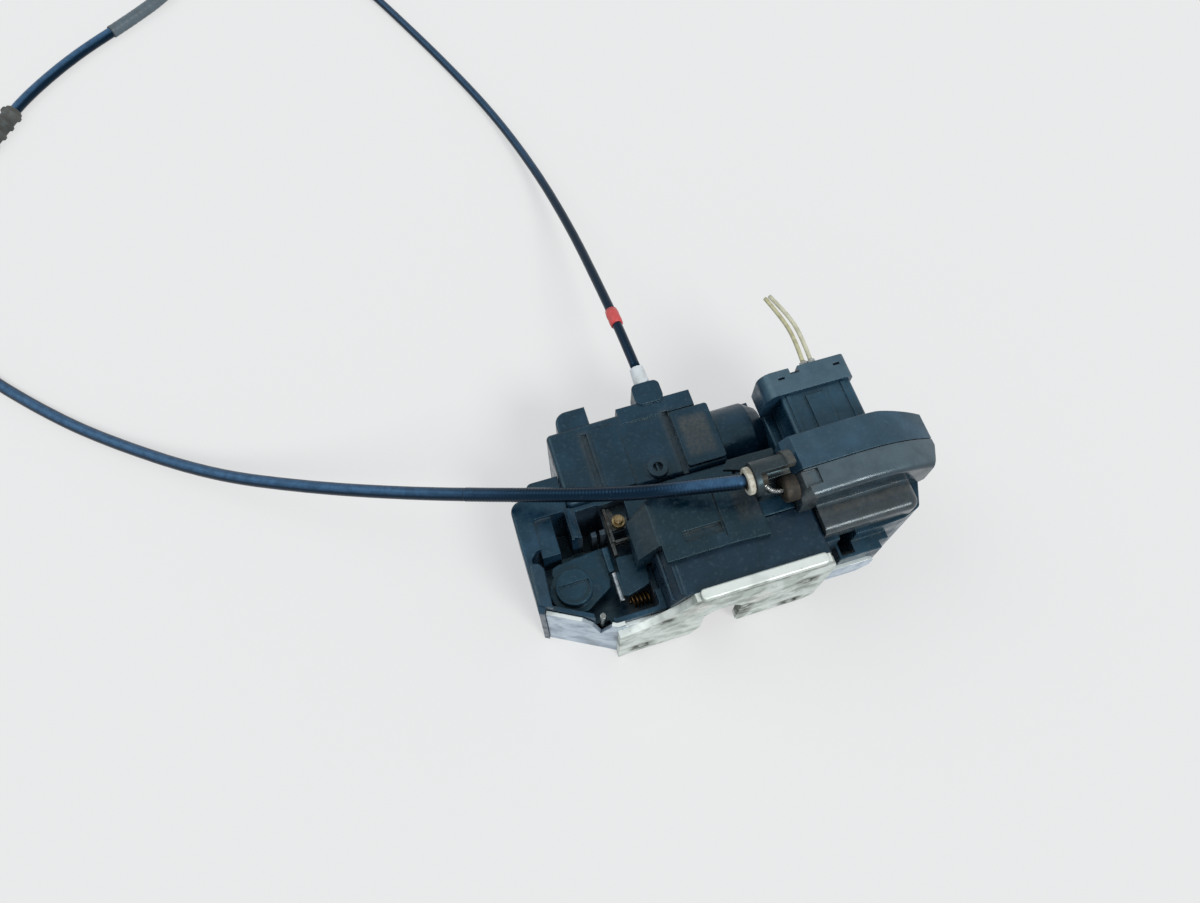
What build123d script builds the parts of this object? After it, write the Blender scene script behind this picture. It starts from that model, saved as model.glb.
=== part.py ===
from build123d import *
import math
import os

# Door latch actuator, millimetres. The plate stands upright with its front face towards -Y,
# the striker slot opens downwards, and the housings stand behind it.
# The working frame has its zero at the plate's lower left corner. Every piece is moved by
# ORIGIN when it is written, so that the written part's origin is under its middle.
ORIGIN = (53.0, 46.9, 0.0)

# Latch plate
PLATE_T = 3.0
PLATE_LEFT, PLATE_RIGHT, PLATE_TOP = 1.5, 83.6, 54.0
SLOT_X, SLOT_R, SLOT_END_Z = 42.0, 7.5, 24.0
FLANGE_T = 2.5
FLANGE_PROUD = 0.8
M6_TAP_R = 2.5
M6_HOLES = ((11.0, 9.5), (73.0, 7.0), (74.5, 34.0))
SCREW_ROOM_R, SCREW_ROOM_Y = 3.3, 14.0

# Catch and pawl, both turning about axes along Y
FORK_X, FORK_Z = 56.5, 29.5
FORK_R, FORK_INNER_R, FORK_HUB_R = 25.0, 21.5, 9.5
FORK_OPEN_ANGLE = 58.0
JAW_R = 5.0
JAW_X, JAW_Z = -14.5, -5.5
JAW_ANGLE = 127.5
PAWL_X, PAWL_Z = 30.0, 42.0
PAWL_HUB_R = 6.0
PAWL_REST_ANGLE = 3.0
LINK_Y0, LINK_Y1 = 5.2, 9.7
RIVET_R, RIVET_HEAD_R, RIVET_HEAD_T = 4.0, 5.2, 1.0
RUN_GAP = 0.06
BACKING_Y0, BACKING_Y1 = 13.4, 15.4

# Mechanism case
MECH_LEFT, MECH_RIGHT, MECH_BACK = 21.0, 80.5, 22.0
WALL = 2.0

# Wing plate
WING_T = 1.5
WING_TOP = 39.0

# Lever case
CASE_LEFT, CASE_FLOOR_TOP, CASE_TOP = -24.0, 20.0, 38.0

# Levers in the open recess
HUB_X, HUB_Y, HUB_R = -9.0, 23.0, 6.9
LEVER_Z0, LEVER_Z1, HUB_TOP = 27.5, 30.5, 35.0
LOCK_X, LOCK_Y = 21.5, 31.0
LOCK_Z0, LOCK_Z1 = 32.0, 35.0
ROD_R = 1.5
STOP_X, STOP_Y = -2.2, 9.0
FRAME_Z0 = 31.5

# Latch cover
COVER_TOP, COVER_BASE = 57.0, 38.0

# Actuator
ACT_SPLIT, ACT_TOP = 28.0, 40.0
TOWER_END = 93.2
MOTOR_Y, MOTOR_Z = 62.5, 27.0
MOTOR_R = 8.5
BULGE_Y, BULGE_R = 65.3, 13.2
SCREWS = ((8.8, 86.0), (3.0, 56.5), (24.0, 79.0))
GEAR_MODULE = 1.0
WHEEL_TEETH = 14
WORM_PITCH_R = 3.5

# Arched housing
BASE_TOP = 48.0
ARCH_FRONT, ARCH_SPLIT, ARCH_REAR = 20.0, 31.0, 44.5
ARCH_LEFT = 74.5
CRANK_X, CRANK_Z = 98.0, 43.0

# Where the cables leave: sheath end of the front cable, seat of the rear one, seals of the wires
FRONT_SEAT = (59.0, 32.2, 68.0)
REAR_SEAT = (40.7, TOWER_END, 38.0)
BOOT_X, BOOT_Y, BOOT_Z = 69.4, 27.2, 62.6
SEAL_X, SEAL_Z, SEAL_R = (99.4, 102.6), 55.0, 1.5

# Cables: outer diameters
FRONT_D, REAR_D, WIRE_D = 5.2, 4.1, 1.7


def front_slab(points, y0, y1):
    """Outline drawn as x, z in the front view, standing from y0 to y1."""
    outline = Polyline(*[(x, y0, z) for x, z in points], close=True)
    return extrude(make_face(outline), amount=y1 - y0, dir=(0, 1, 0))


def plan_slab(points, z0, z1):
    """Outline drawn as x, y in the plan, standing from z0 to z1."""
    outline = Polyline(*[(x, y, z0) for x, y in points], close=True)
    return extrude(make_face(outline), amount=z1 - z0, dir=(0, 0, 1))


def side_slab(points, x0, x1):
    """Outline drawn as y, z in the side view, standing from x0 to x1."""
    outline = Polyline(*[(x0, y, z) for y, z in points], close=True)
    return extrude(make_face(outline), amount=x1 - x0, dir=(1, 0, 0))


def block(x0, x1, y0, y1, z0, z1):
    return Pos((x0 + x1) / 2, (y0 + y1) / 2, (z0 + z1) / 2) * Box(x1 - x0, y1 - y0, z1 - z0)


def rod_y(x, z, radius, y0, y1):
    return Pos(x, (y0 + y1) / 2, z) * Rot(90, 0, 0) * Cylinder(radius, y1 - y0)


def rod_x(y, z, radius, x0, x1):
    return Pos((x0 + x1) / 2, y, z) * Rot(0, 90, 0) * Cylinder(radius, x1 - x0)


def rod_z(x, y, radius, z0, z1):
    return Pos(x, y, (z0 + z1) / 2) * Cylinder(radius, z1 - z0)


def round_edges(solid, axis, radius, keep=lambda edge: True):
    """Round the straight edges along one axis that the test keeps."""
    edges = [e for e in solid.edges().filter_by(axis) if keep(e.center())]
    return fillet(edges, radius)


def striker_slot(extra, y0, y1):
    """Fishmouth slot with a round end and a flared mouth, wider by extra on each side."""
    radius = SLOT_R + extra
    neck = block(SLOT_X - radius, SLOT_X + radius, y0, y1, -1, SLOT_END_Z)
    end = rod_y(SLOT_X, SLOT_END_Z, radius, y0, y1)
    mouth = front_slab(
        [(SLOT_X - radius - 5, -1), (SLOT_X - radius, 10), (SLOT_X + radius, 6), (SLOT_X + radius + 3, -1)],
        y0, y1)
    return neck + end + mouth


# ---------------------------------------------------------------- plate and catch

def latch_plate():
    lower = [(PLATE_LEFT, 0), (8.0, 1.8), (78.5, 2.4), (82.7, 6.0), (PLATE_RIGHT, 38.0), (82.8, 46.0), (79.5, PLATE_TOP)]
    outline = [Polyline(*[(x, 0, z) for x, z in lower]),
               Line((79.5, 0, PLATE_TOP), (29.0, 0, PLATE_TOP)),
               Spline((29.0, 0, PLATE_TOP), (22.0, 0, 44.5), (12.0, 0, 37.0), (PLATE_LEFT, 0, 34.0)),
               Line((PLATE_LEFT, 0, 34.0), (PLATE_LEFT, 0, 0))]
    plate = extrude(make_face(outline), amount=PLATE_T, dir=(0, 1, 0))
    plate -= striker_slot(0, -1, PLATE_T + 1)
    for x, z in M6_HOLES:
        plate -= rod_y(x, z, M6_TAP_R, -1, PLATE_T + 1)
    for x, z in ((FORK_X, FORK_Z), (PAWL_X, PAWL_Z)):
        plate -= rod_y(x, z, RIVET_R, -1, PLATE_T + 1) + rod_y(x, z, RIVET_HEAD_R, -1, RIVET_HEAD_T)
    flange = block(30.5, 78.0, -FLANGE_PROUD, PLATE_T + 0.4, PLATE_TOP, PLATE_TOP + FLANGE_T)
    flange = round_edges(flange, Axis.Z, 1.6)
    flange = fillet(flange.faces().sort_by(Axis.Z)[-1].edges(), 0.8)
    return plate + flange


def wing_centre():
    return [(20.8, 3.75), (1.6, 3.75), (-21.6, 16.22)]


def wing_plate():
    with BuildSketch() as plan:
        with BuildLine():
            FilletPolyline(*wing_centre(), radius=2.0)
        trace(line_width=WING_T)
    wing = extrude(plan.sketch, amount=WING_TOP)
    foot, tip = Vector(1.6, 3.75, 0), Vector(-21.6, 16.22, 0)
    along = (tip - foot).normalized()
    side = Plane(origin=foot, x_dir=along, z_dir=along.cross(Vector(0, 0, 1)))
    up = 1 if side.y_dir.Z > 0 else -1
    top_line = [(2.0, 46), (2.0, 37.0), (6.0, 24.0), (9.0, 33.0), (13.0, 37.0), (40, 37.0), (40, 46)]
    notch = make_face(side * Polyline(*[(s, up * z) for s, z in top_line], close=True))
    wing -= extrude(notch, amount=8, both=True)
    rear_slope = front_slab([(4.5, 41), (4.5, 36.0), (20.8, 35.0), (22, 35.0), (22, 41)], 2, 6)
    x, z = M6_HOLES[0]
    return wing - rear_slope - rod_y(x, z, SCREW_ROOM_R, 2, 6)


def backing_plate():
    outline = [(25.0, 34), (23.8, 47), (36, 49.5), (66, 47), (70, 24), (62, 16), (53, 16), (51.0, 34), (33.0, 34)]
    plate = front_slab(outline, BACKING_Y0, BACKING_Y1)
    for x, z in ((FORK_X, FORK_Z), (PAWL_X, PAWL_Z)):
        plate -= rod_y(x, z, RIVET_R, BACKING_Y0 - 1, BACKING_Y1 + 1)
    return plate


def rivet(x, z):
    """Rivet: head sunk into the plate, bearing for the link, and a tail behind the backing plate."""
    shank = rod_y(x, z, RIVET_R, 0, BACKING_Y1)
    head = rod_y(x, z, RIVET_HEAD_R, 0, RIVET_HEAD_T)
    tail = rod_y(x, z, RIVET_HEAD_R, BACKING_Y1, BACKING_Y1 + 0.8)
    return shank + head + tail


def pie(x, z, radius, start, stop, y0, y1):
    """Sector of a disc between two angles in the front view."""
    steps = [start + (stop - start) * i / 8 for i in range(9)]
    reach = radius / math.cos(math.radians((stop - start) / 16))
    rim = [(x + 2 * reach * math.cos(math.radians(a)), z + 2 * reach * math.sin(math.radians(a))) for a in steps]
    return front_slab([(x, z)] + rim, y0, y1) & rod_y(x, z, radius, y0, y1)


def catch_fork():
    """Catch at rest: turned to its open position, so that its jaw faces the slot."""
    y0, y1 = LINK_Y0, LINK_Y1
    body = pie(FORK_X, FORK_Z, FORK_R, 197, 238, y0, y1)
    body += pie(FORK_X, FORK_Z, FORK_INNER_R, 108, 200, y0, y1)
    body += rod_y(FORK_X, FORK_Z, FORK_HUB_R, y0, y1)
    ux, uz = math.cos(math.radians(JAW_ANGLE)), math.sin(math.radians(JAW_ANGLE))
    jx, jz = FORK_X + JAW_X, FORK_Z + JAW_Z
    sx, sz = uz * JAW_R, -ux * JAW_R
    far = 20
    jaw = front_slab([(jx + sx, jz + sz), (jx + sx + far * ux, jz + sz + far * uz),
                      (jx - sx + far * ux, jz - sz + far * uz), (jx - sx, jz - sz)], y0 - 1, y1 + 1)
    body -= jaw + rod_y(jx, jz, JAW_R, y0 - 1, y1 + 1)
    body -= rod_y(FORK_X, FORK_Z, RIVET_R + RUN_GAP, y0 - 1, y1 + 1)
    pivot = Axis((FORK_X, 0, FORK_Z), (0, 1, 0))
    return body.rotate(pivot, -FORK_OPEN_ANGLE)


def pawl():
    """Pawl at rest: dropped to where it holds the closed catch."""
    y0, y1 = LINK_Y0, LINK_Y1
    arm = [(PAWL_X - 5.6, PAWL_Z), (25.6, 34), (28.4, 14.5), (32.0, 13.5), (34.2, 16.0), (34.2, 20.8),
           (30.6, 21.6), (31.0, 34), (PAWL_X + 5.6, PAWL_Z)]
    body = front_slab(arm, y0, y1) + rod_y(PAWL_X, PAWL_Z, PAWL_HUB_R, y0, y1)
    body -= rod_y(PAWL_X, PAWL_Z, RIVET_R + RUN_GAP, y0 - 1, y1 + 1)
    pivot = Axis((PAWL_X, 0, PAWL_Z), (0, 1, 0))
    return body.rotate(pivot, PAWL_REST_ANGLE)


def coil_spring(x, z, inner_r, wire, y0, turns, pitch):
    """Torsion spring: a coil round a pivot, along Y."""
    path = Helix(pitch=pitch, height=pitch * turns, radius=inner_r + wire / 2)
    start = path @ 0
    section = Plane(origin=start, z_dir=path % 0) * Circle(wire / 2)
    coil = sweep(section, path=path, is_frenet=True)
    return Pos(x, y0, z) * Rot(-90, 0, 0) * coil


def fork_spring():
    return coil_spring(FORK_X, FORK_Z, RIVET_R + 0.1, 1.2, LINK_Y1 + 1.0, 1.5, 1.35)


def pawl_spring():
    return coil_spring(PAWL_X, PAWL_Z, RIVET_R + 0.1, 1.0, LINK_Y1 + 0.9, 1.75, 1.15)


def slot_bumper():
    """Rubber buffer that the striker meets at the slot's end."""
    y0, y1 = BACKING_Y1, MECH_BACK - WALL
    arch = rod_y(SLOT_X, SLOT_END_Z + 1.0, SLOT_R + 2.2, y0, y1)
    arch -= rod_y(SLOT_X, SLOT_END_Z + 1.0, SLOT_R, y0 - 1, y1 + 1)
    return arch - block(20, 60, y0 - 1, y1 + 1, 0, SLOT_END_Z + 3)


# ---------------------------------------------------------------- cases

def mechanism_case():
    outline = [(MECH_LEFT, 0), (MECH_RIGHT, 0), (MECH_RIGHT, PLATE_TOP), (26.0, PLATE_TOP), (MECH_LEFT, 47.0)]
    case = front_slab(outline, PLATE_T, MECH_BACK)
    case = round_edges(case, Axis.Y, 1.5, lambda c: c.Z > 40)
    links = [(MECH_LEFT + WALL, 12.5), (30.5, 12.5), (30.5, 2.0), (30, -1), (54, -1), (54, 2.0), (70.0, 2.0),
             (84.0 - WALL - 5, 14), (78.5, 20), (78.5, 46), (70, 52), (27, 52), (MECH_LEFT + WALL, 46)]
    case -= front_slab(links, PLATE_T - 1, BACKING_Y1)
    case -= striker_slot(0.4, PLATE_T - 1, MECH_BACK - WALL)
    case -= rod_y(SLOT_X, SLOT_END_Z + 1.0, SLOT_R + 2.2, BACKING_Y1, MECH_BACK - WALL)
    for x, z in ((22.1, 48.9), (25.2, 53.0)):
        case += rod_y(x, z, 0.9, 4.0, MECH_BACK)
    for x, z in M6_HOLES[1:]:
        case -= rod_y(x, z, SCREW_ROOM_R, PLATE_T - 1, SCREW_ROOM_Y)
    for x, z in ((FORK_X, FORK_Z), (PAWL_X, PAWL_Z)):
        case -= rod_y(x, z, RIVET_HEAD_R + 0.2, BACKING_Y1 - 1, BACKING_Y1 + 1.0)
    return case


def lever_case():
    outline = [(20.9, 4.6), (2.3, 4.6), (-23.1, 18.25), (CASE_LEFT, 18.7), (CASE_LEFT, 60.5), (-16.0, 60.5),
               (-16.0, 66.0), (-3.2, 66.0), (-3.2, 51.8), (61.8, 51.8), (61.8, 22.2), (20.9, 22.2)]
    case = plan_slab(outline, 0, CASE_TOP)
    case = round_edges(case, Axis.Z, 4.5, lambda c: c.X < -23.5 and c.Y > 40)
    case = round_edges(case, Axis.Z, 2.5, lambda c: -20 < c.X < -10 and c.Y > 62)
    case = fillet(case.faces().sort_by(Axis.Z)[-1].edges().filter_by(Axis.Y).sort_by(Axis.X)[:1], 1.0)
    recess = plan_slab([(-21.3, 19.1), (2.2, 6.5), (18.6, 6.5), (18.6, 39.5), (-18.5, 39.5), (-21.3, 36.5)],
                       CASE_FLOOR_TOP, CASE_TOP + 1)
    case -= round_edges(recess, Axis.Z, 1.5)
    case -= block(18.0, 21.0, 12.5, 26.0, LOCK_Z0 - 0.4, CASE_TOP + 1)
    deep = plan_slab([(-1.0, 39.0), (8.6, 39.0), (8.6, 50.0), (-1.0, 50.0)], 6.0, CASE_TOP + 1)
    case -= round_edges(deep, Axis.Z, 1.0)
    frame_seat = plan_slab([(8.5, 34.0), (18.3, 34.0), (18.3, 49.6), (8.5, 49.6)], FRAME_Z0, CASE_TOP + 1)
    case -= frame_seat
    side_well = plan_slab([(-17.0, 39.0), (-4.6, 39.0), (-4.6, 51.5), (-17.0, 51.5)], 10.0, CASE_TOP + 1)
    case -= round_edges(side_well, Axis.Z, 1.5)
    case += block(-17.2, -10.2, 36.4, 51.6, 9.0, CASE_TOP - 2)
    case += block(-3.8, -2.4, 39.5, 51.6, CASE_TOP - 1, CASE_TOP + 1.6)
    for x in (2.6, 6.0):
        case += block(x, x + 2.0, 38.8, 40.8, CASE_FLOOR_TOP - 15, CASE_TOP - 2)
    ridge = plan_slab([(-23.4, 18.4), (-18.8, 15.95), (-17.9, 31.0), (-19.4, 33.4), (-22.6, 34.0)],
                      CASE_TOP - 3, CASE_TOP + 4)
    ridge = fillet(ridge.edges().filter_by(Axis.Z).sort_by(Axis.Y)[-2:], 1.2)
    case += fillet(ridge.edges().filter_by(Axis.Z, reverse=True).group_by(Axis.Z)[-1], 0.6)
    case += plan_slab([(-24.0, 20.0), (-24.2, 15.9), (-22.4, 14.95), (-21.45, 17.2), (-21.3, 19.0)], 0, CASE_TOP + 2)
    case -= rod_z(HUB_X, HUB_Y, 3.0, 12.0, CASE_FLOOR_TOP + 1)
    case -= block(-5.2, 1.0, 3.0, 10.5, 15.0, CASE_TOP + 1)
    case -= rod_z(STOP_X, STOP_Y, 1.3, 10.0, 16.0)
    under_cover = plan_slab([(18.0, 23.5), (59.0, 23.5), (59.0, 38.0), (18.0, 38.0)], CASE_FLOOR_TOP + 9, CASE_TOP + 1)
    case -= round_edges(under_cover, Axis.Z, 2.0)
    case -= rod_z(LOCK_X, LOCK_Y, 2.0, 20.0, CASE_FLOOR_TOP + 10)
    x, z = M6_HOLES[0]
    return case - rod_y(x, z, SCREW_ROOM_R, 3.0, SCREW_ROOM_Y)


def stop_pin():
    """Upright steel pin behind the notch in the wing plate."""
    pin = rod_z(STOP_X, STOP_Y, 1.3, 10.0, CASE_TOP - 1)
    return fillet(pin.edges().sort_by(Axis.Z)[-1:], 0.5)


def guide_frame():
    """Pressed steel frame beside the cover: a window, a narrow strip behind it and a riveted bush."""
    plate = plan_slab([(8.9, 34.4), (17.9, 34.4), (17.9, 44.0), (13.6, 45.6), (12.4, 49.2), (9.6, 49.2), (8.9, 42.0)],
                      FRAME_Z0, FRAME_Z0 + 1.6)
    plate = round_edges(plate, Axis.Z, 0.4)
    plate -= block(10.6, 16.0, 35.8, 40.0, FRAME_Z0 - 1, FRAME_Z0 + 3)
    left_rim = block(9.6, 10.6, 35.0, 48.6, FRAME_Z0 + 1.5, FRAME_Z0 + 4.2)
    front_rim = block(10.6, 16.0, 34.6, 35.6, FRAME_Z0 + 1.5, FRAME_Z0 + 3.4)
    strip = block(8.9, 10.2, 30.2, 35.0, FRAME_Z0, FRAME_Z0 + 2.4)
    return plate + left_rim + front_rim + strip


def brass_bush():
    """Turned bush on the guide frame, with a smaller collar on top."""
    z = FRAME_Z0 + 1.6
    bush = rod_z(14.2, 42.4, 2.5, z, z + 2.6) + rod_z(14.2, 42.4, 1.7, z + 2.6, z + 4.4)
    return fillet(bush.edges().filter_by(GeomType.CIRCLE).sort_by(Axis.Z)[-1:], 0.4)


def detent_spring():
    """Coil spring lying along X under the locking lever."""
    path = Helix(pitch=1.5, height=7.5, radius=2.2)
    section = Plane(origin=path @ 0, z_dir=path % 0) * Circle(0.45)
    coil = sweep(section, path=path, is_frenet=True)
    return Pos(10.6, 14.2, CASE_FLOOR_TOP + 3.0) * Rot(0, 90, 0) * coil


def latch_cover():
    """Raised cover: bevelled on the left, hollow from below, with a front lip over the case."""
    front, rear = 22.2, 40.0
    profile = [(15.0, COVER_BASE), (15.0, 47.0), (22.5, COVER_TOP), (61.8, COVER_TOP), (61.8, COVER_BASE)]
    cover = front_slab(profile, front, rear)
    cover = fillet(cover.edges().filter_by(Axis.Y).sort_by(Axis.Z)[-2:], 0.8)
    cut_corner = plan_slab([(14, 41), (14, 36.5), (27, 41)], 30, 60)
    cover -= cut_corner
    inside = [(15.0 + WALL, COVER_BASE - 1), (15.0 + WALL, 46.2), (23.3, COVER_TOP - WALL),
              (61.8 - WALL, COVER_TOP - WALL), (61.8 - WALL, COVER_BASE - 1)]
    hollow = front_slab(inside, front + WALL, rear - WALL)
    hollow -= plan_slab([(13, 42), (13, 33.8), (30, 41)], 30, 60)
    cover -= hollow
    lip = [(23.2, 15.6), (50.0, 15.6), (60.0, 15.0), (61.8, 15.0), (61.8, front + 0.1), (23.2, front + 0.1)]
    cover += plan_slab(lip, PLATE_TOP, COVER_TOP)
    cover -= block(31.8, 46.0, 20.6, 24.6, COVER_TOP - 1.6, COVER_TOP + 1)
    cover -= block(46.3, 47.0, 19.0, 35.5, COVER_TOP - 0.7, COVER_TOP + 1)
    cover -= block(14, 21, 21, 30, COVER_BASE - 1, LOCK_Z1 + 3.6)
    return cover


def release_lever():
    """Lever on the large hub: round plate, arm to the right with a rib, and a hub with a D step."""
    plate = rod_z(HUB_X, HUB_Y, 9.2, LEVER_Z0, LEVER_Z1)
    arm = plan_slab([(-15.6, 30.5), (-14.6, 33.2), (-12.5, 34.0), (4.5, 35.6), (7.6, 34.6), (7.9, 30.0), (4.0, 20.0),
                     (-4.0, 15.5)], LEVER_Z0, LEVER_Z1)
    lever = plate + arm
    hub = rod_z(HUB_X, HUB_Y, HUB_R, LEVER_Z1, HUB_TOP)
    hub -= block(HUB_X - 9, HUB_X + 9, HUB_Y - 9, HUB_Y + 1.6, HUB_TOP - 1.6, HUB_TOP + 1)
    rim = rod_z(HUB_X, HUB_Y, HUB_R, LEVER_Z1, HUB_TOP) - rod_z(HUB_X, HUB_Y, HUB_R - 1.0, LEVER_Z1, HUB_TOP + 1)
    lever += hub + rim
    rib = block(4.7, 7.4, 24.6, 34.2, LEVER_Z1 - 0.5, LEVER_Z1 + 4.0)
    lever += fillet(rib.edges().filter_by(Axis.Y).sort_by(Axis.Z)[-2:], 0.8)
    return lever - rod_z(HUB_X, HUB_Y, 3.0 + RUN_GAP, LEVER_Z0 - 1, HUB_TOP - 3.0)


def lever_pivot():
    return rod_z(HUB_X, HUB_Y, 3.0, 12.0, HUB_TOP - 3.4) + rod_z(HUB_X, HUB_Y, 5.5, CASE_FLOOR_TOP, LEVER_Z0 - 0.3)


def locking_lever():
    """Flap lever under the cover's edge, with a groove for the rod on its left edge."""
    flap = plan_slab([(LOCK_X + 2.5, LOCK_Y + 3.0), (LOCK_X - 3.4, LOCK_Y + 3.0), (17.0, 28.4), (8.8, 29.2), (8.2, 13.6),
                      (18.2, 16.3), (18.9, 23.2), (LOCK_X + 3.2, 27.5)], LOCK_Z0, LOCK_Z1)
    flap = round_edges(flap, Axis.Z, 1.0)
    flap += block(7.0, 8.4, 14.4, 23.6, LOCK_Z0, LOCK_Z1)
    flap -= rod_y(6.7, 33.5, ROD_R, 12.0, 25.0)
    return flap - rod_z(LOCK_X, LOCK_Y, 2.0 + RUN_GAP, LOCK_Z0 - 1, LOCK_Z1 + 1)


def lock_rod():
    rod = rod_y(6.7, 33.5, ROD_R, 12.6, 24.2)
    rod = fillet(rod.edges().filter_by(GeomType.CIRCLE), 0.7)
    return rod


def lock_pivot():
    return rod_z(LOCK_X, LOCK_Y, 2.0, 20.0, LOCK_Z1 + 1.4) + rod_z(LOCK_X, LOCK_Y, 3.2, CASE_FLOOR_TOP + 9, LOCK_Z0 - 0.3)


# ---------------------------------------------------------------- actuator

def actuator_slab(z0, z1):
    outline = [(-3.0, 52.0), (62.0, 52.0), (62.0, 78.5), (57.0, 79.0), (57.0, 84.0), (-3.0, 83.0)]
    return round_edges(plan_slab(outline, z0, z1), Axis.Z, 2.0, lambda c: c.Y > 80 or c.X < 0)


def actuator_well(z0, z1):
    """Gear and switch space: screw pillars are left standing in its corners."""
    well = plan_slab([(-0.8, 54.0), (60.0, 54.0), (60.0, 76.5), (55.0, 77.0), (55.0, 81.8), (-0.8, 81.0)], z0, z1)
    for x, y in SCREWS[1:]:
        well -= rod_z(x, y, 3.4, z0 - 1, z1 + 1)
    return well


def screw_pillar(z0, z1):
    """Rounded pillar behind the case for the rear screw."""
    x, y = SCREWS[0]
    pillar = plan_slab([(x - 6.4, 80.0), (x + 6.6, 80.0), (x + 6.6, y + 5.6), (x - 6.4, y + 5.6)], z0, z1)
    rear_corners = pillar.edges().filter_by(Axis.Z).group_by(Axis.Y)[-1].sort_by(Axis.X)
    return fillet(rear_corners[:1], 5.0)


def actuator_case():
    case = actuator_slab(0, ACT_SPLIT)
    case += rod_x(BULGE_Y, MOTOR_Z, BULGE_R, 61.0, 81.0) & block(62.0, 90, 40, 80, 0, ACT_SPLIT)
    case += screw_pillar(0, ACT_SPLIT)
    case -= actuator_well(8.0, ACT_SPLIT + 1)
    case -= rod_x(MOTOR_Y, MOTOR_Z, MOTOR_R, 58.0, 78.5)
    for x, y in SCREWS:
        case -= rod_z(x, y, 1.6, 1.0, ACT_SPLIT + 1) + rod_z(x, y, 3.1, -1.0, 4.6)
    return case


def actuator_cover():
    """Lid with stepped panels, ribs and seams, the motor bulge and the cable tower."""
    lid = actuator_slab(ACT_SPLIT, ACT_TOP)
    lid = fillet(lid.faces().sort_by(Axis.Z)[-1].edges(), 1.8)
    lid += round_edges(block(14.0, 24.6, 53.0, 79.5, ACT_TOP - 1, ACT_TOP + 1.0), Axis.Z, 0.8)
    lid += round_edges(block(46.0, 61.5, 53.5, 77.5, ACT_TOP - 1, ACT_TOP + 1.8), Axis.Z, 1.2)
    lid += block(26.5, 57.0, 78.5, 85.4, 30.0, ACT_TOP + 0.6)
    lid += round_edges(block(35.0, 46.5, 84.0, TOWER_END, 30.0, ACT_TOP + 1.6), Axis.Z, 2.4)
    lid += rod_z(34.5, 56.5, 4.0, ACT_TOP - 1, ACT_TOP + 2.6) - rod_z(34.5, 56.5, 2.0, ACT_TOP, ACT_TOP + 3)
    lid += block(34.0, 35.0, 53.0, 60.0, ACT_TOP - 0.5, ACT_TOP + 1.4)
    for x in (10.2, 43.6):
        lid -= block(x, x + 2.2, 51, 79.0, ACT_TOP - 1.4, ACT_TOP + 1)
    lid += fillet(screw_pillar(ACT_SPLIT, ACT_TOP - 1.5).faces().sort_by(Axis.Z)[-1].edges(), 1.0)
    bulge = rod_x(BULGE_Y, MOTOR_Z, BULGE_R, 61.0, 76.0)
    taper = Pos(76.0, BULGE_Y, MOTOR_Z) * Rot(0, 90, 0) * Cone(BULGE_R, BULGE_R - 3.2, 5.0,
                                                              align=(Align.CENTER, Align.CENTER, Align.MIN))
    lid += (bulge + taper) & block(62.0, 90, 40, 80, ACT_SPLIT, 60)
    lid -= actuator_well(ACT_SPLIT - 1, ACT_TOP - WALL)
    lid -= rod_x(MOTOR_Y, MOTOR_Z, MOTOR_R, 58.0, 78.5)
    for x, y in SCREWS:
        lid -= rod_z(x, y, 1.6, ACT_SPLIT - 1, 36.5)
    lid -= rod_y(REAR_SEAT[0], REAR_SEAT[2], 3.0, REAR_SEAT[1] - 7.0, REAR_SEAT[1] + 1)
    return lid


def cover_screws():
    """Three screws from below: head in the case, shank up into the cover."""
    screws = []
    for x, y in SCREWS:
        head = fillet(rod_z(x, y, 2.9, 2.0, 4.6).edges().sort_by(Axis.Z)[:1], 0.5)
        screws.append(head + rod_z(x, y, 1.55, 4.5, 36.0))
    return Compound(children=screws)


def motor_can():
    can = rod_x(MOTOR_Y, MOTOR_Z, MOTOR_R, 52.5, 78.0)
    can = fillet(can.edges().filter_by(GeomType.CIRCLE), 1.0)
    return can - rod_x(MOTOR_Y, MOTOR_Z, 1.0 + RUN_GAP, 50.0, 60.0)


def worm():
    """Worm on the motor's spindle: one helical thread along the shaft."""
    lead = math.pi * GEAR_MODULE
    turns = 3.5
    root_r = WORM_PITCH_R - 1.15
    length = lead * turns
    core = Cylinder(root_r, length + 4.0)
    path = Pos(0, 0, -length / 2) * Helix(pitch=lead, height=length, radius=root_r - 0.2)
    tooth = Polyline((-0.2, -0.72), (2.05, -0.36), (2.05, 0.36), (-0.2, 0.72), close=True)
    section = Plane(origin=path @ 0, x_dir=(1, 0, 0), z_dir=path % 0) * make_face(tooth)
    thread = sweep(section, path=path, is_frenet=True)
    thread &= Cylinder(WORM_PITCH_R + 0.85, length)
    shaft = Pos(0, 0, 9.5) * Cylinder(1.0, 12.0)
    return Pos(42.0, MOTOR_Y, MOTOR_Z) * Rot(0, 90, 0) * (core + thread + shaft)


def worm_wheel():
    """Wheel driven by the worm, on an upright axle, with straight teeth and wide gaps."""
    pitch_r = GEAR_MODULE * WHEEL_TEETH / 2
    centre_y = MOTOR_Y + WORM_PITCH_R + pitch_r
    wheel = Cylinder(pitch_r - 1.2, 4.0)
    tooth = plan_slab([(pitch_r - 1.6, -0.85), (pitch_r + 0.8, -0.36), (pitch_r + 0.8, 0.36), (pitch_r - 1.6, 0.85)],
                      -2.0, 2.0)
    for i in range(WHEEL_TEETH):
        wheel += Rot(0, 0, 360 / WHEEL_TEETH * (i + 0.5)) * tooth
    wheel += Pos(0, 0, 3.5) * Cylinder(4.0, 3.0)
    wheel -= Cylinder(1.5 + RUN_GAP, 20.0)
    return Pos(42.0, centre_y, MOTOR_Z) * wheel


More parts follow.
